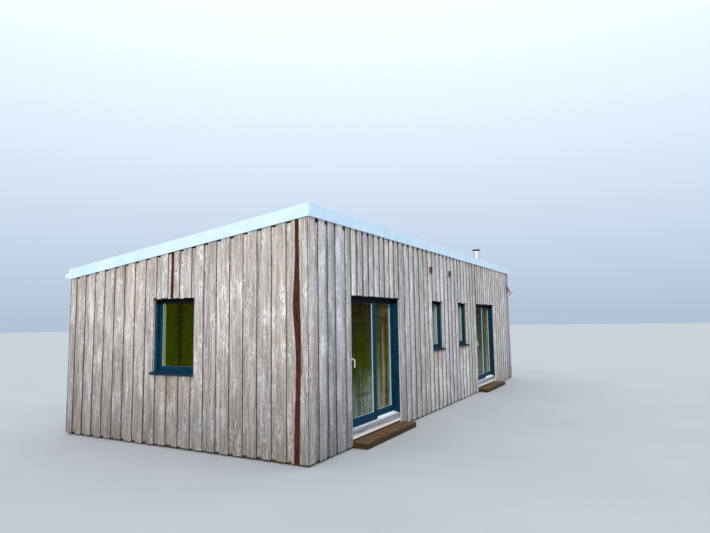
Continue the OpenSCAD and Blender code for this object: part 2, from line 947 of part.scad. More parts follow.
// The weathering collar: a plate on the panels' crowns and a cone round the pipe
module flue_collar() {
    clearance = 0.3;
    plate_t = 4;
    color(silver_color)
        translate([flue_x, flue_y, 0])
            difference() {
                union() {
                    translate([0, 0, crown_z])
                        rotate([-roof_angle, 0, 0])
                            translate([-collar_plate_w / 2, -collar_plate_w / 2, 0])
                                cube([collar_plate_w, collar_plate_w, plate_t]);
                    above_crowns(0)
                        translate([0, 0, crown_z - flue_d / 2])
                            cylinder(h = flue_d / 2 + collar_h, d1 = flue_d * 1.9, d2 = flue_d + 14,
                                     $fn = 48);
                }
                translate([0, 0, crown_z - flue_d])
                    cylinder(h = flue_d + 2 * collar_h, d = flue_d + 2 * clearance);
            }
}

lamp_x = x1 - lamp_right;
lamp_side_gap = 4;
module at_lamp() {
    translate([lamp_x, y0, lamp_h])
        children();
}

// A wall plate above the lamp, and two arms that slope down to the bolts at the head's sides
module lamp_bracket() {
    strap_w = 28;
    strap_t = 4;
    bolt_d = 16;
    bolt_head = 6;
    inner = lamp_w / 2 + lamp_side_gap;
    arm_len = norm([lamp_reach, lamp_rise]);
    foot_h = strap_w * arm_len / lamp_reach;
    plate_h = foot_h + 2 * strap_t * lamp_rise / lamp_reach + 8;
    across_y = strap_w / 2 * lamp_rise / arm_len;
    across_z = strap_w / 2 * lamp_reach / arm_len;
    color(silver_color)
        at_lamp() {
            translate([-inner - strap_t, -strap_t, lamp_rise - plate_h / 2])
                cube([2 * (inner + strap_t), strap_t, plate_h]);
            for (way = [0, 1])
                mirror([way, 0, 0]) {
                    along_x(inner, inner + strap_t, [
                        [-lamp_reach - across_y, across_z], [0, lamp_rise + foot_h / 2],
                        [0, lamp_rise - foot_h / 2], [across_y - lamp_reach, -across_z]]);
                    translate([inner, -lamp_reach, 0])
                        rotate([0, 90, 0])
                            cylinder(h = strap_t, d = strap_w + 6);
                    translate([lamp_w / 2, -lamp_reach, 0])
                        rotate([0, 90, 0])
                            cylinder(h = lamp_side_gap + strap_t + bolt_head, d = bolt_d);
                }
        }
}

// A flat lamp head that leans out from the wall, with a raised rim round the glass in
// front and cooling ribs down its back
module lamp_head() {
    rim = 14;
    dish = 8;
    rib_depth = 10;
    rib_t = 4;
    ribs = 9;
    rib_step = (lamp_w - 2 * rim - rib_t) / (ribs - 1);
    color(silver_color)
        at_lamp()
            translate([0, -lamp_reach, 0])
                rotate([lamp_tilt, 0, 0])
                    translate([-lamp_w / 2, -lamp_t / 2, -lamp_len / 2]) {
                        difference() {
                            cube([lamp_w, lamp_t - rib_depth, lamp_len]);
                            translate([rim, -e, rim])
                                cube([lamp_w - 2 * rim, dish + e, lamp_len - 2 * rim]);
                        }
                        for (i = [0:ribs - 1])
                            translate([rim + i * rib_step, lamp_t - rib_depth - e, rim])
                                cube([rib_t, rib_depth + e, lamp_len - 2 * rim]);
                    }
}

base_frame();
floor_deck();
front_wall_left();
front_wall_over_door_1();
front_wall_middle();
front_wall_over_door_2();
front_wall_right();
rear_wall();
left_end_wall();
right_end_wall();
roof_deck();
roof_panels();
front_trim();
rear_trim();
left_trim();
right_trim();
gutter();
downpipe();
door_1_frame();
door_1_fixed_leaf();
door_1_sliding_leaf();
door_1_sliding_glass();
door_1_handle();
door_2_frame();
door_2_fixed_leaf();
door_2_sliding_leaf();
door_2_sliding_glass();
door_2_handle();
fixed_door_glass();
door_tracks();
cill_boards();
narrow_window_1_frame();
narrow_window_2_frame();
left_window_frame();
right_window_frame();
window_glass();
window_sills();
wall_vents();
step_1();
step_2();
flue_pipe();
flue_cap();
flue_collar();
lamp_bracket();
lamp_head();
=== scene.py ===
# Looks of a single-storey cabin clad in weathered larch boards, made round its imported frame.
# Metres, in the frame's own axes: X along the front, Y from front to back, Z up from the ground.
import json
import math
import random
from collections import namedtuple
from functools import partial

import bmesh
import bpy
from mathutils import Euler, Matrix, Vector, noise

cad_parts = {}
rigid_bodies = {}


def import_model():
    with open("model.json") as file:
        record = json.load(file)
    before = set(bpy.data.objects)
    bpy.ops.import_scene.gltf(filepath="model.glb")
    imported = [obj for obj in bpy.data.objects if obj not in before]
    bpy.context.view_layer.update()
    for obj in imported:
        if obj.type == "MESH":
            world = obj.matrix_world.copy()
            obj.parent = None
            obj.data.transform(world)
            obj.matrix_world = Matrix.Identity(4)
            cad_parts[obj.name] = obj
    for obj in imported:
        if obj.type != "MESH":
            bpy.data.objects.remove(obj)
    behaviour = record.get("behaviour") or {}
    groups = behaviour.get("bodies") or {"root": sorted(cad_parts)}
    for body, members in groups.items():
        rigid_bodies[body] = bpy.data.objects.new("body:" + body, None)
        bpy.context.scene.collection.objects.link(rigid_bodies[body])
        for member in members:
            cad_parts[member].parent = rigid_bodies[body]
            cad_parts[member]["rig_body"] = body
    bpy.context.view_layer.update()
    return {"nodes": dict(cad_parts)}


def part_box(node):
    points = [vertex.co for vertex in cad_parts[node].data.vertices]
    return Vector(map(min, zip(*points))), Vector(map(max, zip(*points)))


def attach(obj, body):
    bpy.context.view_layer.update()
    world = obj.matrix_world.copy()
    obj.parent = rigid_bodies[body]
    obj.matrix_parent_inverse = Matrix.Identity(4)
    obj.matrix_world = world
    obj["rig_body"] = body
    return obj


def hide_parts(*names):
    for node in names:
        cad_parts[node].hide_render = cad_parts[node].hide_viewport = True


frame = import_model()
MM = 0.001

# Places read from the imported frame
left_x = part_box("left_end_wall")[0].x
right_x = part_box("right_end_wall")[1].x
front_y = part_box("front_wall_left")[0].y
rear_low, rear_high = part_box("rear_wall")
rear_y = rear_high.y
wall_t = rear_high.y - rear_low.y
skirt_z = rear_low.z
base_low, base_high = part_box("base_frame")
cladding_t = base_low.x - left_x
base_z = base_high.z
floor_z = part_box("floor_deck")[1].z
deck_low, deck_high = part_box("roof_deck")
deck_t = 80 * MM
roof_fall = (deck_high.z - deck_low.z - deck_t) / (rear_y - front_y)
trim_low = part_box("front_trim")[0]
trim_h = 190 * MM
head_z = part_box("front_wall_over_door_1")[0].z
cill_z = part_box("cill_boards")[0].z
window_head_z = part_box("left_window_frame")[1].z

# Sizes of the cladding boards, which the frame's walls hold as one skin
board_t = 20 * MM
hairline = 0.5 * MM
inner_face = -board_t - hairline
board_lap = 25 * MM
arris = 3 * MM
end_ease = 2 * MM
lap_shade_w = 9 * MM
end_pitch = 267.5 * MM
front_pitch = 257 * MM
row_h = 160 * MM
corner_w = 165 * MM
last_board_w = 170 * MM
lining_t = 14 * MM

# Ends of the end walls that are boarded with the front and with the rear wall
front_corner = 222 * MM
rear_corner = 240 * MM

# Sizes of the windows and door leaves: how far the glass runs into its rebate, how far it
# stands back from the leaf's face, and how thick the sealed unit is
glass_bite = 15 * MM
glass_back = 12 * MM
unit_t = 24 * MM
frame_w = 45 * MM
sash_back = 40 * MM

# Edges sharper than this stay crisp
crease = math.radians(35)

Side = namedtuple("Side", "corner along out length")
east = Vector((1, 0, 0))
north = Vector((0, 1, 0))
front_side = Side(Vector((left_x, front_y, 0)), east, -north, right_x - left_x)
rear_side = Side(Vector((left_x, rear_y, 0)), east, north, right_x - left_x)
left_side = Side(Vector((left_x, front_y, 0)), north, -east, rear_y - front_y)
right_side = Side(Vector((right_x, front_y, 0)), north, east, rear_y - front_y)
long_sides = (front_side, rear_side)


def ceiling_z(y):
    """Height of the roof deck's underside at a distance Y."""
    return deck_high.z - deck_t - (y - front_y) * roof_fall


def trim_foot_z(y):
    """Height of the edge trim's lower fold at a distance Y."""
    return trim_low.z - (y - trim_low.y) * roof_fall


def spot(side, across, out, height):
    """The point so far along a side, out from its boards' faces, and up from the ground."""
    return side.corner + side.along * across + side.out * out + Vector((0, 0, height))


def span_on(side, node):
    """Where a node lies on a side: its left, right, foot and head."""
    low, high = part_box(node)
    ends = sorted((side.along.dot(low - side.corner), side.along.dot(high - side.corner)))
    return (*ends, low.z, high.z)


def depths_on(side, node):
    """How far a node's front and its back stand out from the faces of a side's boards."""
    low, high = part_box(node)
    back, front = sorted((side.out.dot(low - side.corner), side.out.dot(high - side.corner)))
    return front, back


def window_on(side, node):
    """The span of a window between the cladding's edges, which lap the frame's head."""
    return (*span_on(side, node)[:3], head_z)


def doorway_on(n):
    """The span of a doorway between the cladding's edges, which lap its frame."""
    left, right, head, _ = span_on(front_side, f"front_wall_over_door_{n}")
    return (left, right, floor_z, head)


doors = [doorway_on(n) for n in (1, 2)]
door_frames = [span_on(front_side, f"door_{n}_frame") for n in (1, 2)]
narrow_windows = [window_on(front_side, f"narrow_window_{n}_frame") for n in (1, 2)]
end_windows = {"left": window_on(left_side, "left_window_frame"),
               "right": window_on(right_side, "right_window_frame")}
openings_by_side = (
    (front_side, [(*o[:2], skirt_z, o[3]) for o in doors] + narrow_windows),
    (left_side, [end_windows["left"]]), (right_side, [end_windows["right"]]))


def linear(colour):
    """An sRGB hex colour as linear red, green, blue and alpha."""
    parts = [int(colour[i:i + 2], 16) / 255 for i in (1, 3, 5)]
    curve = [c / 12.92 if c <= 0.04045 else ((c + 0.055) / 1.055) ** 2.4 for c in parts]
    return (*curve, 1.0)


def add(tree, kind, *inputs, stops=(), **keywords):
    """Adds a shader node. Its inputs are filled or linked in their order, or by name where a
    keyword starts with a capital, and any other keyword is one of the node's settings."""
    node = tree.nodes.new("ShaderNode" + kind)
    fills = list(zip(node.inputs, inputs))
    for name, value in keywords.items():
        if name.islower():
            setattr(node, name, value)
    for name, value in keywords.items():
        if not name.islower():
            fills.append((next(s for s in node.inputs
                               if s.enabled and s.name == name.replace("_", " ")), value))
    for place, (at, colour) in enumerate(stops):
        ramp = node.color_ramp.elements
        stop = ramp[place] if place < 2 else ramp.new(at)
        stop.position = at
        stop.color = linear(colour)
    for socket, value in fills:
        if isinstance(value, bpy.types.Node):
            value = next(o for o in value.outputs if o.enabled)
        if isinstance(value, bpy.types.NodeSocket):
            tree.links.new(value, socket)
        else:
            socket.default_value = value
    return node


def new_finish(name):
    """A material whose node tree is still empty, and that tree."""
    finish = bpy.data.materials.new(name)
    finish.use_nodes = True
    finish.node_tree.nodes.clear()
    return finish, finish.node_tree


def own_place(tree):
    """Where a point lies in the frame's axes, for patterns that don't follow a board's grain."""
    return add(tree, "TexCoord").outputs["Object"]


def drifting(tree, place, sizes, detail, roughness=0.5, shift=0.0):
    """Soft noise drawn out to the sizes of its patches along X, Y and Z."""
    spread = add(tree, "VectorMath", place, tuple(1 / size for size in sizes), (shift,) * 3,
                 operation="MULTIPLY_ADD")
    return add(tree, "TexNoise", Vector=spread, Scale=1.0, Detail=detail, Roughness=roughness)


def tinted(tree, colour, *layers):
    """Lays tints over a colour one after another, each as (pattern, start, end, most, tint):
    its share rises from none at the pattern's start to most at its end."""
    for pattern, start, end, most, tint in layers:
        share = add(tree, "MapRange", pattern, start, end, 0.0, most)
        colour = add(tree, "Mix", data_type="RGBA", Factor=share, A=colour, B=linear(tint))
    return colour


def shade(tree, colour, bump=None, **even):
    """Ends a node tree in the principled shader, with its even values on the shader itself."""
    if bump:
        even["Normal"] = bump
    shader = add(tree, "BsdfPrincipled", Base_Color=colour, **even)
    add(tree, "OutputMaterial", Surface=shader)


def larch_knots(node, grain):
    """Knots in some cells of a grid along the grain: which cells have one, how far away its
    middle is, and the strength of its dark core and rim."""
    cell_w, cell_l, without_knot = 150 * MM, 430 * MM, 0.45
    cells = node("VectorMath", grain, (1 / cell_w, 1 / cell_l, 0.0), operation="MULTIPLY")
    knots = node("TexVoronoi", Vector=cells, Scale=1.0, voronoi_dimensions="2D")
    chosen = node("Math", node("SeparateColor", knots.outputs["Color"]), without_knot,
                  operation="GREATER_THAN")
    away = knots.outputs["Distance"]
    off_rim = node("Math", node("Math", away, 0.13, operation="SUBTRACT"), operation="ABSOLUTE")
    core = node("MapRange", away, 0.075, 0.04, 0.0, 0.6)
    rim = node("MapRange", off_rim, 0.03, 0.0, 0.0, 0.3)
    return chosen, away, node("Math", core, rim, operation="MAXIMUM")


def growth_rings(node, grain, wander, chosen, away):
    """Growth rings that wander along a board and bend round its knots."""
    ring_w, ring_wander = 15 * MM, 9.0
    bend = node("Math", node("MapRange", away, 0.55, 0.0, 0.0, 2.4), chosen,
                operation="MULTIPLY")
    turns = node("Math", node("SeparateXYZ", grain), 1 / ring_w, bend, operation="MULTIPLY_ADD")
    turns = node("Math", wander, ring_wander, turns, operation="MULTIPLY_ADD")
    wave = node("Math", node("Math", turns, 2 * math.pi, operation="MULTIPLY"),
                operation="SINE")
    return node("Math", wave, 0.5, 0.5, operation="MULTIPLY_ADD")


def board_light(node, at, broad, own_tone):
    """Brightness that drifts along a board and from board to board. It drops low down, more so
    the farther a board stands from one place along the wall."""
    least_darkened_x, most_darkening = 1.5, 0.43
    light = node("Math", broad, 1.1, 0.45, operation="MULTIPLY_ADD")
    light = node("Math", own_tone, 0.11, light, operation="MULTIPLY_ADD")
    from_least_darkened = node("Math", node("Math", at, least_darkened_x, operation="SUBTRACT"),
                       operation="ABSOLUTE")
    low_darkening = node("MapRange", at.outputs["Z"], 2.1, 0.45, 0.0,
                node("MapRange", from_least_darkened, 0.8, 6.5, 0.0, most_darkening))
    return node("Math", light, node("Math", 1.0, low_darkening, operation="SUBTRACT"),
                operation="MULTIPLY")


def weathered_larch(name, dark, middle, pale, stain):
    """Larch boards left bare for years: the eye gets silver-grey streaks and growth rings bent
    round pale-ringed knots, fine drying cracks, white and dark ticks, painted shade in the laps
    and on the edges, warmer wood where the eaves and sills keep the rain off, and wood that is
    darker low down. Each board brings its own tone, warmth and dry share."""
    finish, tree = new_finish(name)
    node = partial(add, tree)
    grain = node("Attribute", attribute_name="grain").outputs["Vector"]
    crevice_shade = node("Attribute", attribute_name="crevice_shade").outputs["Fac"]
    tone = node("SeparateXYZ", node("Attribute", attribute_name="tone").outputs["Vector"])
    own_tone, warmth, dry = tone.outputs
    at = node("SeparateXYZ", own_place(tree))

    def wood(width, length, detail=3.0, shift=0.0):
        return drifting(tree, grain, (width, length, width), detail, 0.6, shift)

    fibres = wood(3.5 * MM, 150 * MM)
    streaks = wood(16 * MM, 480 * MM, 4.0, 3.7)
    patches = wood(130 * MM, 500 * MM, 3.0, 9.1)
    scuffs = wood(14 * MM, 70 * MM, 3.0, 5.3)
    hues = wood(24 * MM, 1300 * MM, 2.0, 14.2)
    lines = wood(9 * MM, 900 * MM, 2.0, 7.7)
    specks = wood(9 * MM, 16 * MM, 2.0, 11.3)
    ticks = wood(11 * MM, 42 * MM, 2.0, 31.9)
    cracks = node("MapRange", wood(6 * MM, 520 * MM, 2.0, 1.9), 0.36, 0.3, 0.0, 0.8)
    chosen, away, dark_knot = larch_knots(node, grain)
    flare = node("MapRange", scuffs, 0.46, 0.56, 0.0,
                 node("MapRange", away, 0.5, 0.12, 0.0, chosen))
    rings = growth_rings(node, grain, wood(110 * MM, 900 * MM, 2.0), chosen, away)
    body = 0.0
    for pattern, weight in ((streaks, 0.56), (rings, 0.14), (fibres, 0.3)):
        body = node("Math", pattern, weight, body, operation="MULTIPLY_ADD")

    whole = (0.0, 1.0)
    colour = node("ValToRGB", body, stops=((0.4, dark), (0.5, middle), (0.6, pale)))
    colour = tinted(
        tree, colour,
        (patches, 0.52, 0.72, 0.45, stain),
        (hues, 0.54, 0.68, 0.3, "#c1b49f"),
        (hues, 0.45, 0.32, 0.3, "#a6a8b2"),
        (warmth, 0.1, 1.2, 0.3, "#b9a693"),
        (warmth, -0.1, -1.2, 0.42, "#a3a8b8"),
        (streaks, *whole, dry, "#b5a28a"),
        (lines, 0.4, 0.3, 0.55, "#7f7670"),
        (flare, *whole, 1.0, "#f1efec"),
        (scuffs, 0.61, 0.67, 0.6, "#e9e6e2"),
        (flare, *whole, node("MapRange", specks, 0.6, 0.66, 0.0, 0.7), "#5d5148"),
        (ticks, 0.64, 0.71, 0.65, "#efedea"),
        (ticks, 0.36, 0.29, 0.55, "#5f5752"),
        (chosen, *whole, dark_knot, "#62564e"),
        (cracks, *whole, 1.0, "#4d443e"),
        # Painted shade in the laps and along the board edges
        (crevice_shade, *whole, 0.85, "#2c2928"),
        (patches, *whole, node("MapRange", at.outputs["Z"], 0.5, 0.03, 0.0, 0.5), "#6d655b"))
    light = board_light(node, at, wood(55 * MM, 1100 * MM, 2.0, 21.7), own_tone)
    colour = node("HueSaturation", Value=light, Color=colour)
    relief = node("Math", body, cracks, operation="SUBTRACT")
    bump = node("Bump", Height=relief, Strength=0.6, Distance=1.5 * MM)
    shade(tree, colour, bump, Roughness=0.88, IOR=1.45, Specular_IOR_Level=0.25)
    return finish


def mottled(name, colours, size, relief, stretch=(1, 1, 1), strength=0.3, turn=None, **even):
    """A finish whose colour drifts between a few shades over a size, with relief of that size.
    turn is the colour it has turned to by its second height, along a ragged line that starts
    from its first."""
    finish, tree = new_finish(name)
    place = own_place(tree)
    blotches = drifting(tree, place, [size * s for s in stretch], 5.0, 0.62)
    last = len(colours) - 1
    stops = [(0.34 + 0.32 * i / last, shade_here) for i, shade_here in enumerate(colours)]
    colour = add(tree, "ValToRGB", blotches, stops=stops)
    if turn:
        first, second, other = turn
        height = add(tree, "SeparateXYZ", place).outputs["Z"]
        ragged = add(tree, "Math", blotches, second - first, height, operation="MULTIPLY_ADD")
        colour = tinted(tree, colour, (ragged, first, second, 1.0, other))
    bump = add(tree, "Bump", Height=blotches, Strength=strength, Distance=relief)
    shade(tree, colour, bump, **even)
    return finish


def sawn_oak_sleeper():
    """A rough-sawn hardwood sleeper: the eye gets long brown fibres, dark splits, a worn golden
    top, and upright sides painted dark as painted shade."""
    finish, tree = new_finish("sawn_oak_sleeper")
    place = own_place(tree)
    fibres = drifting(tree, place, (300 * MM, 12 * MM, 12 * MM), 4.0, 0.65)
    wear = drifting(tree, place, (167 * MM,) * 3, 3.0)
    side_shade_normal = add(tree, "SeparateXYZ", add(tree, "NewGeometry").outputs["Normal"])
    colour = add(tree, "ValToRGB", fibres,
                 stops=((0.3, "#2a1b0f"), (0.5, "#60442a"), (0.7, "#8e6a44")))
    # Worn patches, and painted shade that darkens the upright faces
    colour = tinted(tree, colour, (wear, 0.5, 0.75, 0.55, "#7d6d50"),
                    (side_shade_normal.outputs["Z"], 0.8, 0.2, 0.72, "#1f170c"))
    bump = add(tree, "Bump", Height=fibres, Strength=0.6, Distance=2 * MM)
    shade(tree, colour, bump, Roughness=0.85, IOR=1.45, Specular_IOR_Level=0.25)
    return finish


def boarded(name, shades, board_w, board_l, gap, upright=False, **even):
    """Planed boards laid side by side along X, or level on upright walls: the eye gets their
    seams, tones and grain."""
    finish, tree = new_finish(name)
    place = own_place(tree)
    if upright:
        at = add(tree, "SeparateXYZ", place)
        level = add(tree, "Math", at.outputs["X"], at.outputs["Y"], operation="ADD")
        place = add(tree, "CombineXYZ", level, at.outputs["Z"])
    rows = add(tree, "TexBrick", offset=0.37, Vector=place, Scale=1.0,
               Color1=(0.2, 0.2, 0.2, 1), Color2=(0.8, 0.8, 0.8, 1), Mortar=(0, 0, 0, 1),
               Mortar_Size=gap / 2, Mortar_Smooth=0.2, Brick_Width=board_l, Row_Height=board_w)
    seams = rows.outputs["Fac"]
    fibres = drifting(tree, place, (350 * MM, 12 * MM, 12 * MM), 4.0)
    mixed = add(tree, "Mix", data_type="FLOAT", Factor=0.55, A=fibres, B=rows.outputs["Color"])
    colour = add(tree, "ValToRGB", mixed,
                 stops=[(0.3 + 0.2 * i, shade_here) for i, shade_here in enumerate(shades)])
    colour = tinted(tree, colour, (seams, 0.0, 1.0, 1.0, "#2a221b"))
    bump = add(tree, "Bump", Height=seams, Strength=0.5, Distance=2 * MM, invert=True)
    shade(tree, colour, bump, **even)
    return finish


def float_glass():
    """Clear float glass, the outer pane: the eye gets only a faint grey-green veil with dust."""
    finish, tree = new_finish("clear_float_glass")
    dust = drifting(tree, own_place(tree), (71 * MM,) * 3, 6.0)
    colour = add(tree, "ValToRGB", dust, stops=((0.35, "#141505"), (0.7, "#2b2c18")))
    shade(tree, colour, Roughness=0.03, IOR=1.12, Alpha=0.04)
    return finish


def glass_with_painted_reflection(name, alpha, low, hip, chest, top, pale, dark):
    """An inner pane in front of an unlit room, its colour a painted reflection: dark olive that
    changes from the foot to the top, with soft level bands, pale and dark upright streaks and
    fine flecks, under its own bronze-green mirror sheen."""
    finish, tree = new_finish(name)
    place = own_place(tree)
    height = add(tree, "SeparateXYZ", place).outputs["Z"]
    ragged = add(tree, "Math", drifting(tree, place, (333 * MM,) * 3, 5.0), 0.9, height,
                 operation="MULTIPLY_ADD")
    depth = add(tree, "MapRange", ragged, 0.7, 2.8)
    bands = drifting(tree, place, (1250 * MM, 1250 * MM, 111 * MM), 3.0)
    streaks = drifting(tree, place, (143 * MM, 143 * MM, 5000 * MM), 3.0)
    flecks = drifting(tree, place, (22.2 * MM, 22.2 * MM, 16.7 * MM), 2.0)
    # Painted reflection: colour by height, level bands, upright streaks and flecks
    colour = add(tree, "ValToRGB", depth,
                 stops=((0.12, low), (0.34, hip), (0.46, chest), (0.9, top)))
    colour = tinted(tree, colour,
                    (bands, 0.5, 0.64, 0.5, chest), (bands, 0.46, 0.34, 0.5, top),
                    (streaks, 0.51, 0.58, 0.7, pale), (streaks, 0.46, 0.39, 0.75, dark),
                    (flecks, 0.52, 0.7, 0.4, pale), (flecks, 0.48, 0.3, 0.5, dark))
    shade(tree, colour, Roughness=0.03, IOR=1.1, Alpha=alpha, Specular_Tint=linear("#a8ad66"))
    return finish


# Finishes, each named for what the real material is
# Larch boards, and a copy of them painted darker and greyer as painted shade for the inner
# boards that stand behind on the long walls
larch = weathered_larch("weathered_larch", "#78726f", "#b5afab", "#dfdbd7", "#a0978e")
larch_with_painted_shade = weathered_larch("larch_with_painted_shade", "#696765", "#a6a4a3", "#d2d0cf", "#8b8782")
# Bark left on a waney edge: red-brown, flaky and matt
larch_bark = mottled("larch_bark", ("#2b160f", "#48271c", "#5b3727"), 30 * MM, 2 * MM,
                     stretch=(1, 1, 5), strength=0.8, Roughness=0.95, IOR=1.45,
                     Specular_IOR_Level=0.1)
# Breather membrane behind the boards: matt black cloth-like sheet, only a dark depth
breather_membrane = mottled("breather_membrane", ("#0d0d0e", "#191a1b"), 60 * MM, 1 * MM,
                            Roughness=0.95, IOR=1.4)
# Planed larch lining round the openings: even pale grey, finer grained than the boards
reveal_larch = mottled("reveal_larch", ("#a5a09b", "#c4bfba", "#d8d4cf"), 14 * MM, 0.6 * MM,
                       stretch=(1, 1, 24), Roughness=0.8, IOR=1.45)
# Eggshell paint on the room side of the openings: pale grey-green with a brushed stipple
painted_reveal = mottled("painted_reveal", ("#d3e6a4", "#e2f2ba"), 8 * MM, 0.2 * MM,
                         Roughness=0.7, IOR=1.5)
# Softwood treated for ground contact: dark brown, rough sawn
treated_softwood = mottled("treated_softwood", ("#231c14", "#3b3022", "#4c402e"), 20 * MM,
                           1 * MM, stretch=(12, 1, 1), Roughness=0.9, IOR=1.45)
# Weathered board under each door: trodden grey on top with worn streaks, and painted pale low
# along its front as a painted highlight
cill_larch_lit_edge = mottled("cill_larch_lit_edge", ("#6f6e74", "#8e8e96", "#bcbcc3"), 12 * MM, 0.8 * MM,
                       stretch=(25, 1, 1), strength=0.5,
                       turn=(cill_z + 50 * MM, cill_z + 20 * MM, "#f0ece2"), Roughness=0.8,
                       IOR=1.45)
sleeper_oak = sawn_oak_sleeper()
# Oiled oak floor boards: deep brown with a low sheen
oak_floor = boarded("oiled_oak_floor", ("#3a2c1d", "#5b462e", "#77603f"), 140 * MM, 1.9,
                    3 * MM, Roughness=0.45, IOR=1.5)
# Varnished pine ceiling boards: warm and light
pine_ceiling = boarded("varnished_pine_ceiling", ("#7a5023", "#946530", "#ad7c40"), 95 * MM, 3.2,
                       4 * MM, Roughness=0.4, IOR=1.5)
# Oiled pine panelling round the room: dim olive brown, so that the room stays dark
pine_panelling = boarded("oiled_pine_panelling", ("#4a3a1f", "#6b5630", "#82693d"), 120 * MM,
                         2.9, 3 * MM, upright=True, Roughness=0.6, IOR=1.5)
# Polyester powder coat on aluminium: petrol blue, gone slightly chalky, with orange-peel, and
# painted near black as painted shade at the tops of the jambs under the heads
blue_powder_coat = mottled("blue_powder_coat", ("#00263b", "#013249", "#034358"), 45 * MM,
                           0.15 * MM, turn=(head_z - 85 * MM, head_z - 40 * MM, "#06090d"),
                           Roughness=0.6, IOR=1.5, Specular_IOR_Level=0.08)
# The same coat on the heads, painted near black as painted shade under the boards over them
head_shade_coat = mottled("blue_coat_painted_head_shade", ("#04070a", "#080e14", "#0c1722"), 30 * MM,
                      0.3 * MM, Roughness=0.8, IOR=1.5, Specular_IOR_Level=0.1)
# Folded aluminium sill in the same coat, as a copy painted a little darker and greyer as painted
# shade
sill_coat_painted_shade = mottled("sill_coat_painted_shade", ("#052238", "#072b45", "#093650"), 60 * MM,
                         0.15 * MM, Roughness=0.6, IOR=1.5, Specular_IOR_Level=0.12)
# Painted pine on the room side of the frames: pale grey-blue eggshell
pale_frame_paint = mottled("pale_frame_paint", ("#b3c4ca", "#c4d2d6"), 40 * MM, 0.1 * MM,
                           Roughness=0.5, IOR=1.5)
# Warm-edge spacer bar between the panes: matt pale grey plastic
spacer_plastic = mottled("pale_spacer_plastic", ("#cfe0e6", "#dceaef"), 30 * MM, 0.1 * MM,
                         Roughness=0.6, IOR=1.5)
# Extruded rubber glazing gasket: matt black
gasket_rubber = mottled("gasket_rubber", ("#0b0b0c", "#161617"), 10 * MM, 0.1 * MM,
                        Roughness=0.7, IOR=1.5)
# Mill-finish aluminium threshold and track: pale satin metal with drawn lines
satin_aluminium = mottled("satin_aluminium", ("#e6ebef", "#fafcfd"), 4 * MM, 0.05 * MM,
                          stretch=(60, 1, 1), Roughness=0.5, Metallic=0.1)
# Powder coat on the bent pull handles: smooth warm white
lever_coat = mottled("warm_white_lever_coat", ("#e9e4d4", "#f4f0e3"), 15 * MM, 0.05 * MM,
                     Roughness=0.35, IOR=1.5)
# Twin-wall stainless flue, dulled and faintly tinted by heat
flue_stainless = mottled("flue_stainless", ("#c2c6c8", "#dce0e2", "#e9e9e6"), 60 * MM,
                         0.2 * MM, Roughness=0.45, Metallic=0.8)
# The flue's cap: the same steel, painted dark as painted shade, and matt
cap_steel_painted_shade = mottled("cap_steel_painted_shade", ("#1f1f1e", "#333230", "#474541"), 40 * MM,
                           0.3 * MM, Roughness=0.7, Metallic=0.4)
# White coated sheet steel: clean, faintly blue, with slight waves and pale rain dirt
white_coated_steel = mottled("white_coated_steel", ("#c4dff0", "#cde4f4", "#d6eaf7"), 350 * MM,
                             0.8 * MM, strength=0.25, Roughness=0.4, IOR=1.5)
# Grey coated ribbed roof sheets, dusty between the ribs
grey_coated_steel = mottled("grey_coated_steel", ("#99a1a6", "#aeb6ba", "#bac1c4"), 300 * MM,
                            0.5 * MM, stretch=(1, 4, 1), Roughness=0.5, IOR=1.5)
# White moulded uPVC rainwater goods: smooth with a low gloss
white_upvc = mottled("white_upvc", ("#dfe3e4", "#eceeee"), 120 * MM, 0.1 * MM,
                     Roughness=0.35, IOR=1.53)
# Brown moulded ABS vent: matt and a little chalky
brown_abs = mottled("brown_abs", ("#4a231c", "#66362b", "#784637"), 25 * MM, 0.1 * MM,
                    Roughness=0.6, IOR=1.54)
# Cast aluminium lamp housing under cream paint
cast_aluminium = mottled("painted_cast_aluminium", ("#d8cfa9", "#e8e0bd"), 12 * MM, 0.2 * MM,
                         Roughness=0.45, IOR=1.5)
# The lamp's steel strap, browned and matt
lamp_strap_steel = mottled("lamp_strap_steel", ("#3f3b33", "#5a554a"), 10 * MM, 0.2 * MM,
                           Roughness=0.65, Metallic=0.3)
# The lamp's toughened glass: dark and glossy
lamp_glass = mottled("lamp_glass", ("#15171a", "#202327"), 60 * MM, 0.05 * MM,
                     Roughness=0.08, IOR=1.5)
# Zinc-plated screw heads, dulled to grey
dull_zinc = mottled("dull_zinc", ("#6f6b66", "#8d8a85"), 3 * MM, 0.1 * MM, Roughness=0.5,
                    Metallic=0.8)
outer_glass = float_glass()
# Inner panes with a painted reflection: the windows' let the pale room side of their frames
# show through, and the doors' hide more, the painted reflection nearly black high up on the
# sliding leaves
window_glass = glass_with_painted_reflection("window_glass_painted_reflection", 0.1, "#b9cf8c", "#9fb54a", "#728c00",
                            "#5f5200", "#6a8c00", "#1b3300")
sliding_glass = glass_with_painted_reflection("sliding_glass_painted_reflection", 0.3, "#c6dac8", "#a4b084",
                             "#567000", "#281400", "#4c4406", "#0c1a06")
fixed_glass = glass_with_painted_reflection("fixed_glass_painted_reflection", 0.3, "#bfccb4", "#b2b98a", "#8d9c46",
                           "#5a3c04", "#dcc8a6", "#1c2a0a")


# Finishes of a wall piece, by their place in it
OUTER, INNER, BARK, MEMBRANE, LINING, REVEAL, SCREW, PANELLING = range(8)
wall_finishes = (larch, larch_with_painted_shade, larch_bark, breather_membrane, painted_reveal,
                 reveal_larch, dull_zinc, pine_panelling)
# The front's openings are painted inside like the frames in them
front_finishes = (*wall_finishes[:LINING], pale_frame_paint, *wall_finishes[REVEAL:])

# Finishes of a frame piece, by their place in it
BLUE, PALE, RUBBER, SILVER, HEAD_SHADE, GREENISH = range(6)
frame_finishes = (blue_powder_coat, pale_frame_paint, gasket_rubber, satin_aluminium,
                  head_shade_coat, painted_reveal)

# Finishes of a sealed glass unit, by their place in it, but for the inner pane's own finish with
# its painted reflection
OUTER_PANE, SPACER, INNER_PANE = range(3)


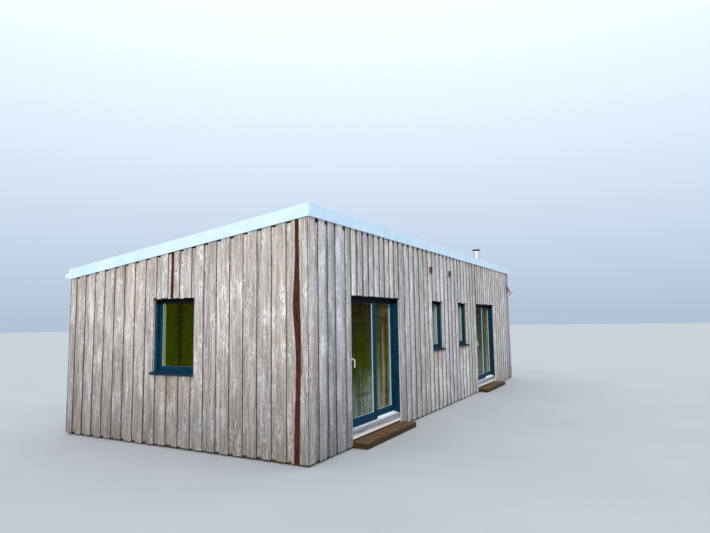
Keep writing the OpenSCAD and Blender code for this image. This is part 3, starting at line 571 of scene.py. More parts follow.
class Shell:
    """Points and faces of one piece, with each face's finish and the wood's own coordinates."""

    def __init__(self):
        self.points = []
        self.faces = []
        self.finishes = []
        self.grain = []
        self.tone = []
        self.crevice_shade = []

    def add(self, points, faces, finish=0, grain=None, tone=None, crevice_shade=None):
        first = len(self.points)
        self.points.extend(points)
        self.faces.extend([first + i for i in face] for face in faces)
        self.finishes.extend(finish if isinstance(finish, list) else [finish] * len(faces))
        self.grain.extend(grain or [(p.x + p.y, p.z, 0.0) for p in points])
        self.tone.extend(tone or [(0.0, 0.0, 0.0)] * len(points))
        self.crevice_shade.extend(crevice_shade or [0.0] * len(points))


def loft(rings):
    """Points and faces that join closed rings of points one after another, capped."""
    count = len(rings[0])
    faces = [[r * count + i, r * count + (i + 1) % count,
              (r + 1) * count + (i + 1) % count, (r + 1) * count + i]
             for r in range(len(rings) - 1) for i in range(count)]
    last = (len(rings) - 1) * count
    faces += [list(range(count)), [last + i for i in range(count)]]
    return [p for ring in rings for p in ring], faces


def block(shell, low, high, ease=1.5 * MM, finish=0):
    """A box with eased edges, between two corners."""
    def ring(z, inset):
        xa, xb = low[0] + inset, high[0] - inset
        ya, yb = low[1] + inset, high[1] - inset
        return [Vector((x, y, z)) for x, y in (
            (xa + ease, ya), (xb - ease, ya), (xb, ya + ease), (xb, yb - ease),
            (xb - ease, yb), (xa + ease, yb), (xa, yb - ease), (xa, ya + ease))]
    shell.add(*loft([ring(low[2], ease), ring(low[2] + ease, 0),
                     ring(high[2] - ease, 0), ring(high[2], ease)]), finish)


def side_block(shell, side, across, out, height, ease=1.5 * MM, finish=0):
    """A box with eased edges that lies on a side: its spans along it, out from it and up."""
    a = spot(side, across[0], out[0], height[0])
    b = spot(side, across[1], out[1], height[1])
    block(shell, [min(p) for p in zip(a, b)], [max(p) for p in zip(a, b)], ease, finish)


def turned(shell, centre, profile):
    """A shape turned about the upright line through a centre, from (radius, height) points."""
    sides = 40
    turns = [2 * math.pi * i / sides for i in range(sides)]
    shell.add(*loft([[Vector((centre[0] + r * math.cos(a), centre[1] + r * math.sin(a), z))
                      for a in turns] for r, z in profile]))


def screw_head(shell, centre, out, radius, height, finish=0):
    """A low domed head with its shank hidden in what it holds."""
    across = out.orthogonal().normalized()
    up = out.cross(across)
    turns = [math.pi * i / 4 for i in range(8)]
    rings = [[centre + out * h + (across * math.cos(a) + up * math.sin(a)) * r for a in turns]
             for h, r in ((-height, radius), (0.4 * height, radius), (height, 0.6 * radius))]
    shell.add(*loft(rings), finish)


def mitred(shell, side, span, profile, foot=1.0, head=1.0, open_foot=False, head_coat=None):
    """Sweeps a closed profile of (inset, out, finish) points round a rectangle on a side, with
    mitred corners. foot and head scale the lower and upper members' widths, an open foot leaves
    the lower one out, and head_coat is the upper one's finish in place of the blue."""
    left, right, low, high = span
    loops = []
    for inset, out, _ in profile:
        base = low if open_foot else low + inset * foot
        top = high - inset * head
        corners = ((left + inset, base), (left + inset, top),
                   (right - inset, top), (right - inset, base))
        loops.append([spot(side, across, out, height) for across, height in corners])
    count = len(profile)
    points = [loop[c] for c in range(4) for loop in loops]
    faces, finishes = [], []
    for c in range(3 if open_foot else 4):
        for i in range(count):
            j = (i + 1) % count
            k = (c + 1) % 4
            faces.append([c * count + i, c * count + j, k * count + j, k * count + i])
            on_head = head_coat and c == 1 and profile[i][2] == BLUE
            finishes.append(head_coat if on_head else profile[i][2])
    if open_foot:
        faces += [list(range(count)), [3 * count + i for i in range(count)]]
        finishes += [PALE] * 2
    shell.add(points, faces, finishes)


def put(name, data):
    """A new object in the scene that holds a mesh, a light or a camera."""
    obj = bpy.data.objects.new(name, data)
    bpy.context.scene.collection.objects.link(obj)
    return obj


def piece(name, shell, finishes, nodes=(), body="hut"):
    """Makes a named object from a shell, smooth but for its creases, riding on a body."""
    mesh = bpy.data.meshes.new(name)
    mesh.from_pydata(shell.points, [], shell.faces)
    for finish in finishes:
        mesh.materials.append(finish)
    mesh.polygons.foreach_set("material_index", shell.finishes)
    for label, values in (("grain", shell.grain), ("tone", shell.tone)):
        held = mesh.attributes.new(label, "FLOAT_VECTOR", "POINT")
        held.data.foreach_set("vector", [c for value in values for c in value])
    mesh.attributes.new("crevice_shade", "FLOAT", "POINT").data.foreach_set("value", shell.crevice_shade)
    turned_out = bmesh.new()
    turned_out.from_mesh(mesh)
    bmesh.ops.recalc_face_normals(turned_out, faces=turned_out.faces)
    turned_out.to_mesh(mesh)
    turned_out.free()
    mesh.shade_smooth()
    mesh.set_sharp_from_angle(angle=crease)
    obj = put(name, mesh)
    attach(obj, body)
    if nodes:
        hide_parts(*nodes)


def eased(node, name, finish, width=1.2 * MM):
    """A copy of a CAD node with its edges eased, which stands in the node's place."""
    same_point, flat = 0.02 * MM, math.radians(0.5)
    source = frame["nodes"][node]
    mesh = source.data.copy()
    mesh.name = name
    mesh.materials.clear()
    mesh.materials.append(finish)
    clean = bmesh.new()
    clean.from_mesh(mesh)
    bmesh.ops.remove_doubles(clean, verts=clean.verts, dist=same_point)
    bmesh.ops.dissolve_limit(clean, angle_limit=flat, verts=clean.verts, edges=clean.edges)
    for face in clean.faces:
        face.material_index = 0
        face.smooth = True
    clean.to_mesh(mesh)
    clean.free()
    if "custom_normal" in mesh.attributes:
        mesh.attributes.remove(mesh.attributes["custom_normal"])
    mesh.set_sharp_from_angle(angle=crease)
    obj = put(name, mesh)
    bevel = obj.modifiers.new("eased_edges", "BEVEL")
    bevel.width = width
    bevel.segments = 2
    bevel.limit_method = "ANGLE"
    bevel.angle_limit = crease
    bevel.use_clamp_overlap = True
    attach(obj, source["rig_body"])
    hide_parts(node)


def coat(node, finish):
    """Gives a CAD node that shows as it is its real finish."""
    for slot in frame["nodes"][node].material_slots:
        slot.material = finish


def drift(seed, height, reach):
    """How far a sawn edge strays from straight at a height."""
    slow = noise.noise(Vector((seed * 7.3, height * 1.1, 4.2)))
    quick = noise.noise(Vector((seed * 3.1, height * 6.0, 1.7)))
    return reach * (slow + 0.35 * quick)


def by_opening(side, across, height):
    """Whether a board's edge there faces a window or a doorway, where it takes little painted
    shade.
    """
    near = 3 * MM
    return any(o[2] < height < o[3] and min(abs(across - o[0]), abs(across - o[1])) < near
               for owner, openings in openings_by_side if owner is side for o in openings)


def stations_up(spans):
    """Where a board's outline is drawn, from its lower end up, as (height, left, right, inset).
    A notched board has two outlines at a notch's height, and both of its ends are eased."""
    stations = []
    for foot, head, left, right in spans:
        steps = max(1, math.ceil((head - foot) / row_h))
        stations += [(foot + (head - foot) * k / steps, left, right, 0.0)
                     for k in range(steps + 1)]
    (foot, *foot_edges, _), (head, *head_edges, _) = stations[0], stations[-1]
    return [(foot, *foot_edges, end_ease), (foot + end_ease, *foot_edges, 0.0),
            *stations[1:-1],
            (head - end_ease, *head_edges, 0.0), (head, *head_edges, end_ease)]


def inner_outline(a, b, front, back, cup, lapped):
    """An inner board's outline from edge a to edge b, as (across, out, shade) points: painted
    black as painted shade as far as other boards lap it, and a little beyond."""
    lap_a, lap_b = a + lapped[0], b - lapped[1]
    return [(a, back, 1.0), (a + arris, front, 1.0), (lap_a + 4 * MM, front, 1.0),
            (lap_a + lap_shade_w, front, 0.0), ((a + b) / 2, front + cup, 0.0),
            (lap_b - lap_shade_w, front, 0.0), (lap_b - 4 * MM, front, 1.0),
            (b - arris, front, 1.0), (b, back, 1.0)]


def outer_outline(a, b, front, back, cup, slope, edge_shade, shade_a, shade_b):
    """An outer board's outline from edge a to edge b, as (across, out, shade) points: painted
    shade on its edges up to a depth, a share of it on their arrises, and bark where b slopes."""
    deep, on_arris = edge_shade
    outline = [(a, back, shade_a), (a, back + deep, 0.8 * shade_a),
               (a, front - arris, on_arris * shade_a),
               (a + 0.3 * arris, front - 0.3 * arris, 0.0), (a + arris, front, 0.0),
               ((a + b) / 2, front + cup, 0.0), (b - arris, front, 0.0)]
    if slope:
        return outline + [(b, front - 0.4 * MM, 0.0), (b + slope, back + 5 * MM, 0.0),
                          (b + slope, back, 0.0)]
    return outline + [(b - 0.3 * arris, front - 0.3 * arris, 0.0),
                      (b, front - arris, on_arris * shade_b), (b, back + deep, 0.8 * shade_b),
                      (b, back, shade_b)]


def board(shell, side, spans, face, finish, draw, shelter, wane=None, edge=None, lapped=None):
    """One upright board with eased edges and painted shade in its laps. spans are (foot, head,
    left, right) from its lower end up, narrower where it is notched. shelter(height, across) is
    how dry it stays, wane(height) gives how much the right edge of its face moves and how wide
    the bark slope beside it is, edge(height) is the left edge's own line, and lapped says how
    far other boards cover its left and right edges."""
    long_wall = side in long_sides
    seed = draw.uniform(0, 50)
    # The long walls' outer boards take a lighter tone as painted light
    spread, warmth, painted_light_lift = (1.7, -0.2, 1.25) if long_wall else (1.0, 0.65, 0.0)
    tone = (draw.uniform(-spread, spread) + (0.0 if lapped else painted_light_lift),
            draw.uniform(-1, 1) + warmth)
    cup = -draw.uniform(0, 1.4) * MM
    grain_x, grain_z = draw.uniform(0, 40), draw.uniform(0, 40)
    # Painted shade on the board edges, deeper and stronger on the long walls, and little of it
    # beside the openings
    edge_shade = (12 * MM, 0.55) if long_wall else (9 * MM, 0.1)
    shade_by_opening, sawn = 0.15, 1.6 * MM
    middle = (spans[0][2] + spans[0][3]) / 2
    back = face - board_t
    rings, grain, tones, crevice_shades = [], [], [], []
    for height, left, right, inset in stations_up(spans):
        moved, slope = wane(height) if wane else (0.0, 0.0)
        a = (edge(height) if edge else left) + inset + drift(seed + left, height, sawn)
        b = right - inset + drift(seed + right + 9, height, sawn) + moved
        if lapped:
            outline = inner_outline(a, b, face - inset, back, cup, lapped)
        else:
            edge_shades = [shade_by_opening if by_opening(side, x, height) else 1.0 for x in (left, right)]
            outline = outer_outline(a, b, face - inset, back, cup, slope, edge_shade, *edge_shades)
        rings.append([spot(side, across, out, height) for across, out, _ in outline])
        grain += [(across - middle + grain_x, height + grain_z, out)
                  for across, out, _ in outline]
        tones += [(*tone, shelter(height, middle))] * len(outline)
        crevice_shades += [crevice_here for _, _, crevice_here in outline]
    points, faces = loft(rings)
    finishes = [finish] * len(faces)
    if wane:
        count = len(rings[0])
        for ring in range(1, len(rings)):
            finishes[ring * count - 3:ring * count - 1] = [BARK, BARK]
    shell.add(points, faces, finishes, grain, tones, crevice_shades)


def cut_round(openings, foot, head, left, right, ragged, cut_gap=0.0):
    """The spans of a board cut or notched round the openings it meets, one list for each part.
    ragged is how far the part above an opening ends over its head, and cut_gap how far the
    parts beside it stay clear."""
    least_w, sill_gap = 30 * MM, 3 * MM
    for o_left, o_right, o_foot, o_head in openings:
        if right <= o_left + MM or left >= o_right - MM or o_foot >= head:
            continue
        below = (foot, o_foot - sill_gap, left, right)
        above = (o_head + ragged, head, left, right)
        if left < o_left - least_w:
            beside = (below[1], above[0], left, o_left - cut_gap)
        elif right > o_right + least_w:
            beside = (below[1], above[0], o_right + cut_gap, right)
        else:
            return [[below], [above]]
        return [[below, beside, above]]
    return [[(foot, head, left, right)]]


def gaps_of(outers, stretch):
    """The gaps between outer boards, and those at a stretch's ends."""
    least_gap = 5 * MM
    gaps = [(one[1], other[0]) for one, other in zip(outers, outers[1:])]
    if outers[0][0] > stretch[0] + least_gap:
        gaps.insert(0, (stretch[0], outers[0][0]))
    if outers[-1][1] < stretch[1] - least_gap:
        gaps.append((outers[-1][1], stretch[1]))
    return gaps


def clad(shell, side, stretch, outers, openings, draw, foot=skirt_z, ends=(0.0, 0.0),
         lined=(0.0, 0.0), wanes=None, edges=None, drop=10 * MM):
    """Boards on board over a stretch of wall: the outer ones, and an inner one behind each gap,
    which on the long walls takes a copy of the larch painted darker as painted shade. ends keeps
    every board clear of the stretch's ends, and lined keeps the inner ones clear of a lining
    there.
    wanes and edges give bark or a line of its own to the outer board that starts there. The
    inner ones end a drop below the trim, and a black strip stands in a tall gap there as painted
    shade."""
    long_wall = side in long_sides
    # On the long walls the inner boards take the larch painted darker as painted shade
    behind = INNER if long_wall else OUTER
    ragged = (-4 * MM, 14 * MM) if long_wall else (0.0, 32 * MM)
    eaves_reach, sill_reach = 0.55, 0.7
    tall_gap, shade_strip_back, shade_strip_lap = 20 * MM, 5 * MM, 4 * MM

    def roof_line(rule, a, b):
        return min(rule(spot(side, a, 0, 0).y), rule(spot(side, b, 0, 0).y))

    def shelter(height, across):
        under = trim_foot_z(spot(side, across, 0, 0).y) - height
        kept = max(0.0, 1.0 - under / eaves_reach) * 0.4
        for o_left, o_right, o_foot, _ in openings:
            if o_left < across < o_right and height < o_foot:
                kept = max(kept, 0.9 - (o_foot - height) / sill_reach)
        return kept

    for left, right in gaps_of(outers, stretch):
        a = max(left - board_lap, stretch[0] + max(ends[0], lined[0]))
        b = min(right + board_lap, stretch[1] - max(ends[1], lined[1]))
        eaves = roof_line(trim_foot_z, a, b)
        head = eaves - drop - draw.uniform(-3, 4) * MM
        # A black strip in a tall gap under the trim, as painted shade
        if drop > tall_gap:
            side_block(shell, side, (left, right), (-board_t, -shade_strip_back),
                       (head, eaves + shade_strip_lap), MM, MEMBRANE)
        low = foot + draw.uniform(8, 26) * MM
        for spans in cut_round(openings, low, head, a, b, draw.uniform(1, 12) * MM,
                               lining_t + MM):
            board(shell, side, spans, inner_face, behind, draw, shelter,
                  lapped=(max(left - a, 0.0), max(b - right, 0.0)))
    for left, right in outers:
        a = max(left, stretch[0] + ends[0])
        b = min(right, stretch[1] - ends[1])
        head = roof_line(ceiling_z, a, b) - 2 * MM
        low = foot + draw.uniform(-6, 8) * MM
        wane = (wanes or {}).get(round(left, 3))
        for spans in cut_round(openings, low, head, a, b, draw.uniform(*ragged)):
            above = spans[0][0] > foot + 1.0
            board(shell, side, spans, 0.0, OUTER, draw, shelter,
                  wane=wane if above or wane is corner_wane else None,
                  edge=(edges or {}).get(round(left, 3)))
        screw_rows(shell, side, a, b, low, head, openings)


def screw_rows(shell, side, left, right, foot, head, openings):
    """A pair of screws through a board at each batten, clear of the openings."""
    batten_pitch, first_batten, last_batten = 600 * MM, 110 * MM, 150 * MM
    edge, beside, over = 28 * MM, 12 * MM, 15 * MM
    height = foot + first_batten
    while height < head - last_batten:
        for across in (left + edge, right - edge):
            if not any(o[0] - beside < across < o[1] + beside
                       and o[2] - over < height < o[3] + over for o in openings):
                screw_head(shell, spot(side, across, 0, height), side.out, 3.6 * MM, 0.8 * MM,
                           SCREW)
        height += batten_pitch


def wall_core(shell, side, across, openings, foot=base_z):
    """The solid wall behind the boards, with its openings: membrane outside, timber and paint
    in the openings, and painted lining inside. across lists where its cells meet."""
    depths = (-cladding_t, -(cladding_t + wall_t) / 2, -wall_t)
    heights = sorted({foot, *(z for o in openings for z in o[2:])})
    columns, rows, layers = len(across) - 1, len(heights), 2

    def solid(i, k, d):
        if not (0 <= i < columns and 0 <= k < rows and 0 <= d < layers):
            return False
        if k == rows - 1:
            return True
        x = (across[i] + across[i + 1]) / 2
        z = (heights[k] + heights[k + 1]) / 2
        return not any(o[0] < x < o[1] and o[2] < z < o[3] for o in openings)

    points, index, faces, finishes = [], {}, [], []

    def corner(i, k, d):
        if (i, k, d) not in index:
            index[i, k, d] = len(points)
            place = spot(side, across[i], depths[d], 0)
            place.z = heights[k] if k < rows else ceiling_z(place.y) - hairline
            points.append(place)
        return index[i, k, d]

    walls = (((-1, 0, 0), ((0, 0, 0), (0, 1, 0), (0, 1, 1), (0, 0, 1))),
             ((1, 0, 0), ((1, 0, 0), (1, 1, 0), (1, 1, 1), (1, 0, 1))),
             ((0, -1, 0), ((0, 0, 0), (1, 0, 0), (1, 0, 1), (0, 0, 1))),
             ((0, 1, 0), ((0, 1, 0), (1, 1, 0), (1, 1, 1), (0, 1, 1))),
             ((0, 0, -1), ((0, 0, 0), (1, 0, 0), (1, 1, 0), (0, 1, 0))),
             ((0, 0, 1), ((0, 0, 1), (1, 0, 1), (1, 1, 1), (0, 1, 1))))
    for i in range(columns):
        for k in range(rows):
            for d in range(layers):
                if not solid(i, k, d):
                    continue
                for step, quad in walls:
                    if solid(i + step[0], k + step[1], d + step[2]):
                        continue
                    faces.append([corner(i + q[0], k + q[1], d + q[2]) for q in quad])
                    sideways = REVEAL if d == 0 else LINING
                    finishes.append({-1: MEMBRANE, 1: PANELLING}.get(step[2], sideways))
    shell.add(points, faces, finishes)


def even_boards(left, right, count, share, draw):
    """Outer boards at an even pitch from left to right, each a share of the pitch wide, and
    slipped a little to one side or the other."""
    pitch = (right - left) / count
    boards = []
    for k in range(count):
        slip = draw.uniform(-4, 4) * MM if k else 0.0
        boards.append((left + k * pitch + slip, left + (k + share) * pitch + slip))
    return boards


def bark_edge(height):
    """Far edge of the corner board's bark: it swells above the middle of the wall, and widens
    again towards the ground."""
    swell = math.exp(-((height - 2.2) / 0.42) ** 2)
    upper = min(max((height - 1.6) / 1.2, 0.0), 1.0)
    lower = min(max((1.25 - height) / 0.95, 0.0), 1.0)
    bark_w = (56 + 12 * upper + 50 * swell + 36 * lower) * MM
    return corner_w + bark_w + drift(8.0, height, 6 * MM)


def corner_wane(height):
    """The waney edge beside the near corner: where its face ends, and how wide the bark is."""
    bow = math.exp(-((height - 1.7) / 0.95) ** 2)
    moved = -30 * MM * bow + drift(3.0, height, 6 * MM)
    return moved, bark_edge(height) - corner_w - moved


def beside_bark(height):
    """The next board's left edge, which follows the bark."""
    return bark_edge(height) + 5 * MM + drift(2.0, height, 3 * MM)


def window_wane(height):
    """The waney edge above the end window, evenly wide up to the trim."""
    return drift(5.0, height, 5 * MM), 82 * MM + drift(6.0, height, 6 * MM)


def strip(shell, side, span, frame_out, heights, finish):
    """A strip behind the outer boards' edge at an opening, as deep as to the opening's frame,
    which ends a lining's thickness over the second height."""
    foot, head = heights
    side_block(shell, side, span, (frame_out + MM, -board_t - MM), (foot, head + lining_t), MM,
               finish)


def lining(shell, side, opening, node):
    """The planed boards beside a window's opening, which the wall boards butt against, and the
    black strip behind the lower ends of the boards over it."""
    left, right, foot, head = opening
    frame_out = depths_on(side, node)[0]
    for span in ((left - lining_t, left), (right, right + lining_t)):
        strip(shell, side, span, frame_out, (foot, head), REVEAL)
    strip(shell, side, (left, right), frame_out, (head, head), MEMBRANE)


def end_boards():
    """Outer boards of an end wall, from the front corner to the rear one."""
    boards = [(0.0, corner_w), (235 * MM, 300 * MM)]
    start, gap, least_last = 400 * MM, 100 * MM, 60 * MM
    while start + end_pitch < left_side.length - least_last:
        boards.append((start, start + end_pitch - gap))
        start += end_pitch
    return boards + [(start, left_side.length)]


def front_walls(draw):
    """The five stretches of the front: beside, over and between the doors."""
    (left_1, right_1, _, head), (left_2, right_2, _, _) = doors
    long = front_side.length
    over_boards, broad, slim = 9, 0.68, 0.66
    frame_lap, drop, lining_foot = 7 * MM, 45 * MM, skirt_z + 10 * MM
    near_boards = ((0.0, 0.18), (0.27, 0.45), (0.53, 0.71), (0.76, 0.99), (1.07, 1.21))
    stretches = (
        ("left", 0.0, left_1, near_boards),
        ("over_door_1", left_1, right_1,
         even_boards(left_1, right_1, over_boards, broad, draw)),
        ("middle", right_1, left_2,
         even_boards(right_1, left_2, round((left_2 - right_1) / front_pitch), slim, draw)),
        ("over_door_2", left_2, right_2,
         even_boards(left_2, right_2, over_boards, broad, draw)),
        ("right", right_2, long,
         even_boards(right_2, long, round((long - right_2) / front_pitch), broad, draw)[:-1]
         + [(long - last_board_w, long)]))
    for name, left, right, outers in stretches:
        node = "front_wall_" + name
        over_door = name.startswith("over")
        shell = Shell()
        windows = narrow_windows if name == "middle" else []
        rebates = [(max(o[0], left), min(o[1], right), *o[2:]) for o in door_frames
                   if o[1] > left and o[0] < right and not over_door]
        openings = [(*o[:3], window_head_z) for o in windows] + rebates
        marks = sorted({max(left, cladding_t), min(right, long - cladding_t),
                        *(x for o in openings for x in o[:2])})
        wall_core(shell, front_side, marks, openings,
                  door_frames[0][3] if over_door else base_z)
        jamb_left = lining_t if left in (right_1, right_2) else 0.0
        jamb_right = lining_t if right in (left_1, left_2) else 0.0
        clad(shell, front_side, (left, right), outers, windows, draw,
             foot=head + frame_lap if over_door else skirt_z, drop=drop,
             lined=(jamb_left and jamb_left + MM, jamb_right and jamb_right + MM))
        for n, opening in enumerate(windows, 1):
            lining(shell, front_side, opening, f"narrow_window_{n}_frame")
        if over_door:
            strip(shell, front_side, (left, right), -cladding_t, (head, head), MEMBRANE)
        for low, high in ((left, left + jamb_left), (right - jamb_right, right)):
            if high > low:
                strip(shell, front_side, (low, high), -cladding_t, (lining_foot, head), REVEAL)
        if name in ("left", "right"):
            corner_boards(shell, left_side if name == "left" else right_side, draw, front=True)
        piece(node + "_boarded", shell, front_finishes, (node,))


def corner_boards(shell, side, draw, front):
    """The end-wall boards that belong to the long wall behind the corner."""
    boards = end_boards()
    behind = board_t + hairline
    if front:
        wanes = {0.0: corner_wane} if side is left_side else None
        clad(shell, side, (0.0, front_corner), boards[:1], [], draw, ends=(behind, 0.0),
             wanes=wanes)
    else:
        clad(shell, side, (side.length - rear_corner, side.length), boards[-1:], [], draw,
             ends=(0.0, behind))


def rear_wall(draw):
    """The long rear wall, boarded like the front, with the end boards of its corners."""
    shell = Shell()
    long, share = rear_side.length, 0.67
    wall_core(shell, rear_side, [cladding_t, long - cladding_t], [])
    outers = even_boards(0.0, long, round(long / front_pitch), share, draw)[:-1]
    clad(shell, rear_side, (0.0, long), outers + [(long - last_board_w, long)], [], draw)
    corner_boards(shell, left_side, draw, front=False)
    corner_boards(shell, right_side, draw, front=False)
    piece("rear_wall_boarded", shell, wall_finishes, ("rear_wall",))


def end_wall(name, side, draw):
    """An end wall with its window, and its boards between the corner ones. On the left end the
    board over the window that the waney line meets is narrower, to leave room for its bark."""
    shell = Shell()
    window = end_windows[name]
    waney_line, bark_room = 2.6, 50 * MM
    marks = [wall_t, window[0], window[1], side.length - wall_t]
    wall_core(shell, side, marks, [(*window[:3], window_head_z)])
    boards = end_boards()[1:-1]
    wanes, edges = {}, {}
    if side is left_side:
        edges = {round(boards[0][0], 3): beside_bark}
        for k, (left, right) in enumerate(boards):
            if left < waney_line < right:
                boards[k] = (left, right - bark_room)
                wanes = {round(left, 3): window_wane}
    clad(shell, side, (front_corner, side.length - rear_corner), boards, [window], draw,
         wanes=wanes, edges=edges)
    lining(shell, side, window, name + "_window_frame")
    piece(name + "_end_wall_boarded", shell, wall_finishes, (name + "_end_wall",))


def glass_rebate(sight, face):
    """The part of a profile that holds a sealed unit: rubber in front, a rebate, and the rubber
    behind. sight is where the rubber starts in view, and face the profile's front."""
    seal, front = sight + 3 * MM, face - glass_back
    return [(seal, front + 1.5 * MM, RUBBER), (seal, front, RUBBER),
            (sight - glass_bite, front, PALE), (sight - glass_bite, front - unit_t, RUBBER),
            (sight, front - unit_t, RUBBER)]


def window_frame(name, side, node, glass_low):
    """A fixed frame round a sash set back in it, with a shadow gap between them and a seal."""
    shell = Shell()
    front, back = depths_on(side, node)
    sight = glass_low + glass_bite
    sash = front - sash_back
    room_coat = PALE if side is front_side else GREENISH
    profile = [(0, back, PALE), (0, (front + back) / 2, BLUE), (0, front - 2 * MM, BLUE),
               (2 * MM, front, BLUE), (frame_w - 2 * MM, front, BLUE),
               (frame_w, front - 2 * MM, BLUE), (frame_w, sash - 8 * MM, RUBBER),
               (frame_w + 4 * MM, sash - 8 * MM, BLUE), (frame_w + 4 * MM, sash - 2 * MM, BLUE),
               (frame_w + 6 * MM, sash, BLUE), (sight - 9 * MM, sash, BLUE),
               (sight - 1 * MM, sash - 7 * MM, RUBBER), *glass_rebate(sight, sash),
               (sight, sash - 39 * MM, room_coat), (sight - 6 * MM, back, room_coat)]
    # The head member takes the coat painted near black as painted shade
    mitred(shell, side, span_on(side, node), profile, head_coat=HEAD_SHADE)
    piece(name, shell, frame_finishes, (node,))


def glass_unit(shell, side, span, front):
    """A sealed double unit: two panes with their pale spacer between them, just inside the
    seal."""
    pane_t = 4 * MM
    back = front - unit_t
    across, height = span[:2], span[2:]
    side_block(shell, side, across, (front - pane_t, front), height, MM, OUTER_PANE)
    side_block(shell, side, across, (back, back + pane_t), height, MM, INNER_PANE)
    rim_a, rim_b = glass_bite - 6 * MM, glass_bite + 2 * MM
    mitred(shell, side, span, [(inset, out, SPACER) for inset, out in (
        (rim_a, back + pane_t), (rim_a, front - pane_t),
        (rim_b, front - pane_t), (rim_b, back + pane_t))])


def windows():
    """The four window frames and their sealed glass."""
    units = Shell()
    rebate = 90 * MM
    sides = (("narrow_window_1", front_side), ("narrow_window_2", front_side),
             ("left_window", left_side), ("right_window", right_side))
    for name, side in sides:
        node = name + "_frame"
        left, right, foot, head = span_on(side, node)
        window_frame(name + "_sash", side, node, rebate)
        span = (left + rebate, right - rebate, foot + rebate, head - rebate)
        glass_unit(units, side, span, depths_on(side, node)[0] - sash_back - glass_back)
    piece("window_glass_units", units, (outer_glass, spacer_plastic, window_glass),
          ("window_glass",))


def leaf(shell, span, depths, side_w, foot_w, head_w):
    """A door leaf's mitred rails and stiles: blue outside, pale paint inside, with a bead,
    a rubber seal and the rebate that the glass sits in."""
    front, back = depths
    profile = [(0, back, PALE), (0, back + 2 * MM, BLUE), (0, front - 2 * MM, BLUE),
               (2 * MM, front, BLUE), (side_w - 22 * MM, front, BLUE),
               (side_w - 20 * MM, front - 2 * MM, BLUE), (side_w - 18 * MM, front, BLUE),
               (side_w - 8 * MM, front, BLUE), (side_w, front - 7 * MM, RUBBER),
               *glass_rebate(side_w, front),
               (side_w, front - 38 * MM, PALE), (side_w - 5 * MM, back, PALE)]
    # The head rail takes the coat painted near black as painted shade
    mitred(shell, front_side, span, profile, foot=foot_w / side_w, head=head_w / side_w,
           head_coat=HEAD_SHADE)


def door_frame(n):
    """A doorway's stepped jambs and head, and the silver cill under its fixed leaf."""
    node = f"door_{n}_frame"
    left, right, _, head = door_frames[n - 1]
    front, back = depths_on(front_side, node)
    face_w = 60 * MM
    shell = Shell()
    profile = [(0, back, PALE), (0, front - 60 * MM, BLUE), (0, front - 2 * MM, BLUE),
               (2 * MM, front, BLUE), (face_w - 12 * MM, front, BLUE),
               (face_w - 10 * MM, front - 2 * MM, BLUE), (face_w - 2 * MM, front - 2 * MM, BLUE),
               (face_w, front - 4 * MM, BLUE), (face_w, front - 60 * MM, RUBBER),
               (face_w + 4 * MM, front - 61 * MM, RUBBER),
               (face_w + 4 * MM, front - 66 * MM, RUBBER), (face_w, front - 67 * MM, BLUE),
               (face_w, back + 17 * MM, PALE), (face_w, back, PALE)]
    # The head takes the coat painted near black as painted shade
    mitred(shell, front_side, (left, right, floor_z, head), profile, open_foot=True,
           head_coat=HEAD_SHADE)
    fixed_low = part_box(f"door_{n}_fixed_leaf")[0]
    block(shell, (left_x + left + face_w, fixed_low.y, floor_z),
          (left_x + right - face_w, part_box(node)[1].y, fixed_low.z), 1.5 * MM, SILVER)
    piece(f"door_{n}_jambs_and_head", shell, frame_finishes, (node,))


def sliding_leaf(n):
    """A doorway's front leaf on its rollers, with its sealed glass. Gives its stiles' width."""
    node, glass_node, body = f"door_{n}_sliding_leaf", f"door_{n}_sliding_glass", f"door_{n}"
    rail_w, head_rail_w = 132 * MM, 90 * MM
    left, right, _, head = span_on(front_side, node)
    glass_span = span_on(front_side, glass_node)
    stile_w = glass_span[0] + glass_bite - left
    shell = Shell()
    leaf(shell, (left, right, glass_span[2] + glass_bite - rail_w, head),
         depths_on(front_side, node), stile_w, rail_w, head_rail_w)
    rollers(shell, *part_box(node))
    piece(f"door_{n}_sliding_stiles_and_rails", shell, frame_finishes, (node,), body=body)
    shell = Shell()
    glass_unit(shell, front_side, glass_span, depths_on(front_side, glass_node)[0])
    piece(f"door_{n}_sliding_glass_unit", shell, (outer_glass, spacer_plastic, sliding_glass),
          (glass_node,), body=body)
    return stile_w


def fixed_leaf(n, stile_w, units):
    """A doorway's rear leaf, and its sealed glass among the units that share one node."""
    node = f"door_{n}_fixed_leaf"
    rail_w, head_rail_w = 113 * MM, 96 * MM
    span, depths = span_on(front_side, node), depths_on(front_side, node)
    shell = Shell()
    leaf(shell, span, depths, stile_w, rail_w, head_rail_w)
    piece(f"door_{n}_fixed_stiles_and_rails", shell, frame_finishes, (node,))
    left, right, foot, head = span
    inset = stile_w - glass_bite
    glass_unit(units, front_side, (left + inset, right - inset, foot + rail_w - glass_bite,
                                   head - head_rail_w + glass_bite), depths[0] - glass_back)


def rollers(shell, low, high):
    """The two grooved rollers under a sliding leaf, as wide as two rails."""
    radius, inset = 11 * MM, 57.5 * MM
    middle_y = (low.y + high.y) / 2
    turns = [2 * math.pi * i / 24 for i in range(24)]
    for x in (low.x + inset, high.x - inset):
        rings = [[Vector((x + r * math.cos(a), middle_y + w, low.z + radius + r * math.sin(a)))
                  for a in turns]
                 for w, r in ((-6 * MM, radius), (-3.5 * MM, radius), (-3 * MM, 0.9 * radius),
                              (3 * MM, 0.9 * radius), (3.5 * MM, radius), (6 * MM, radius))]
        shell.add(*loft(rings), SILVER)


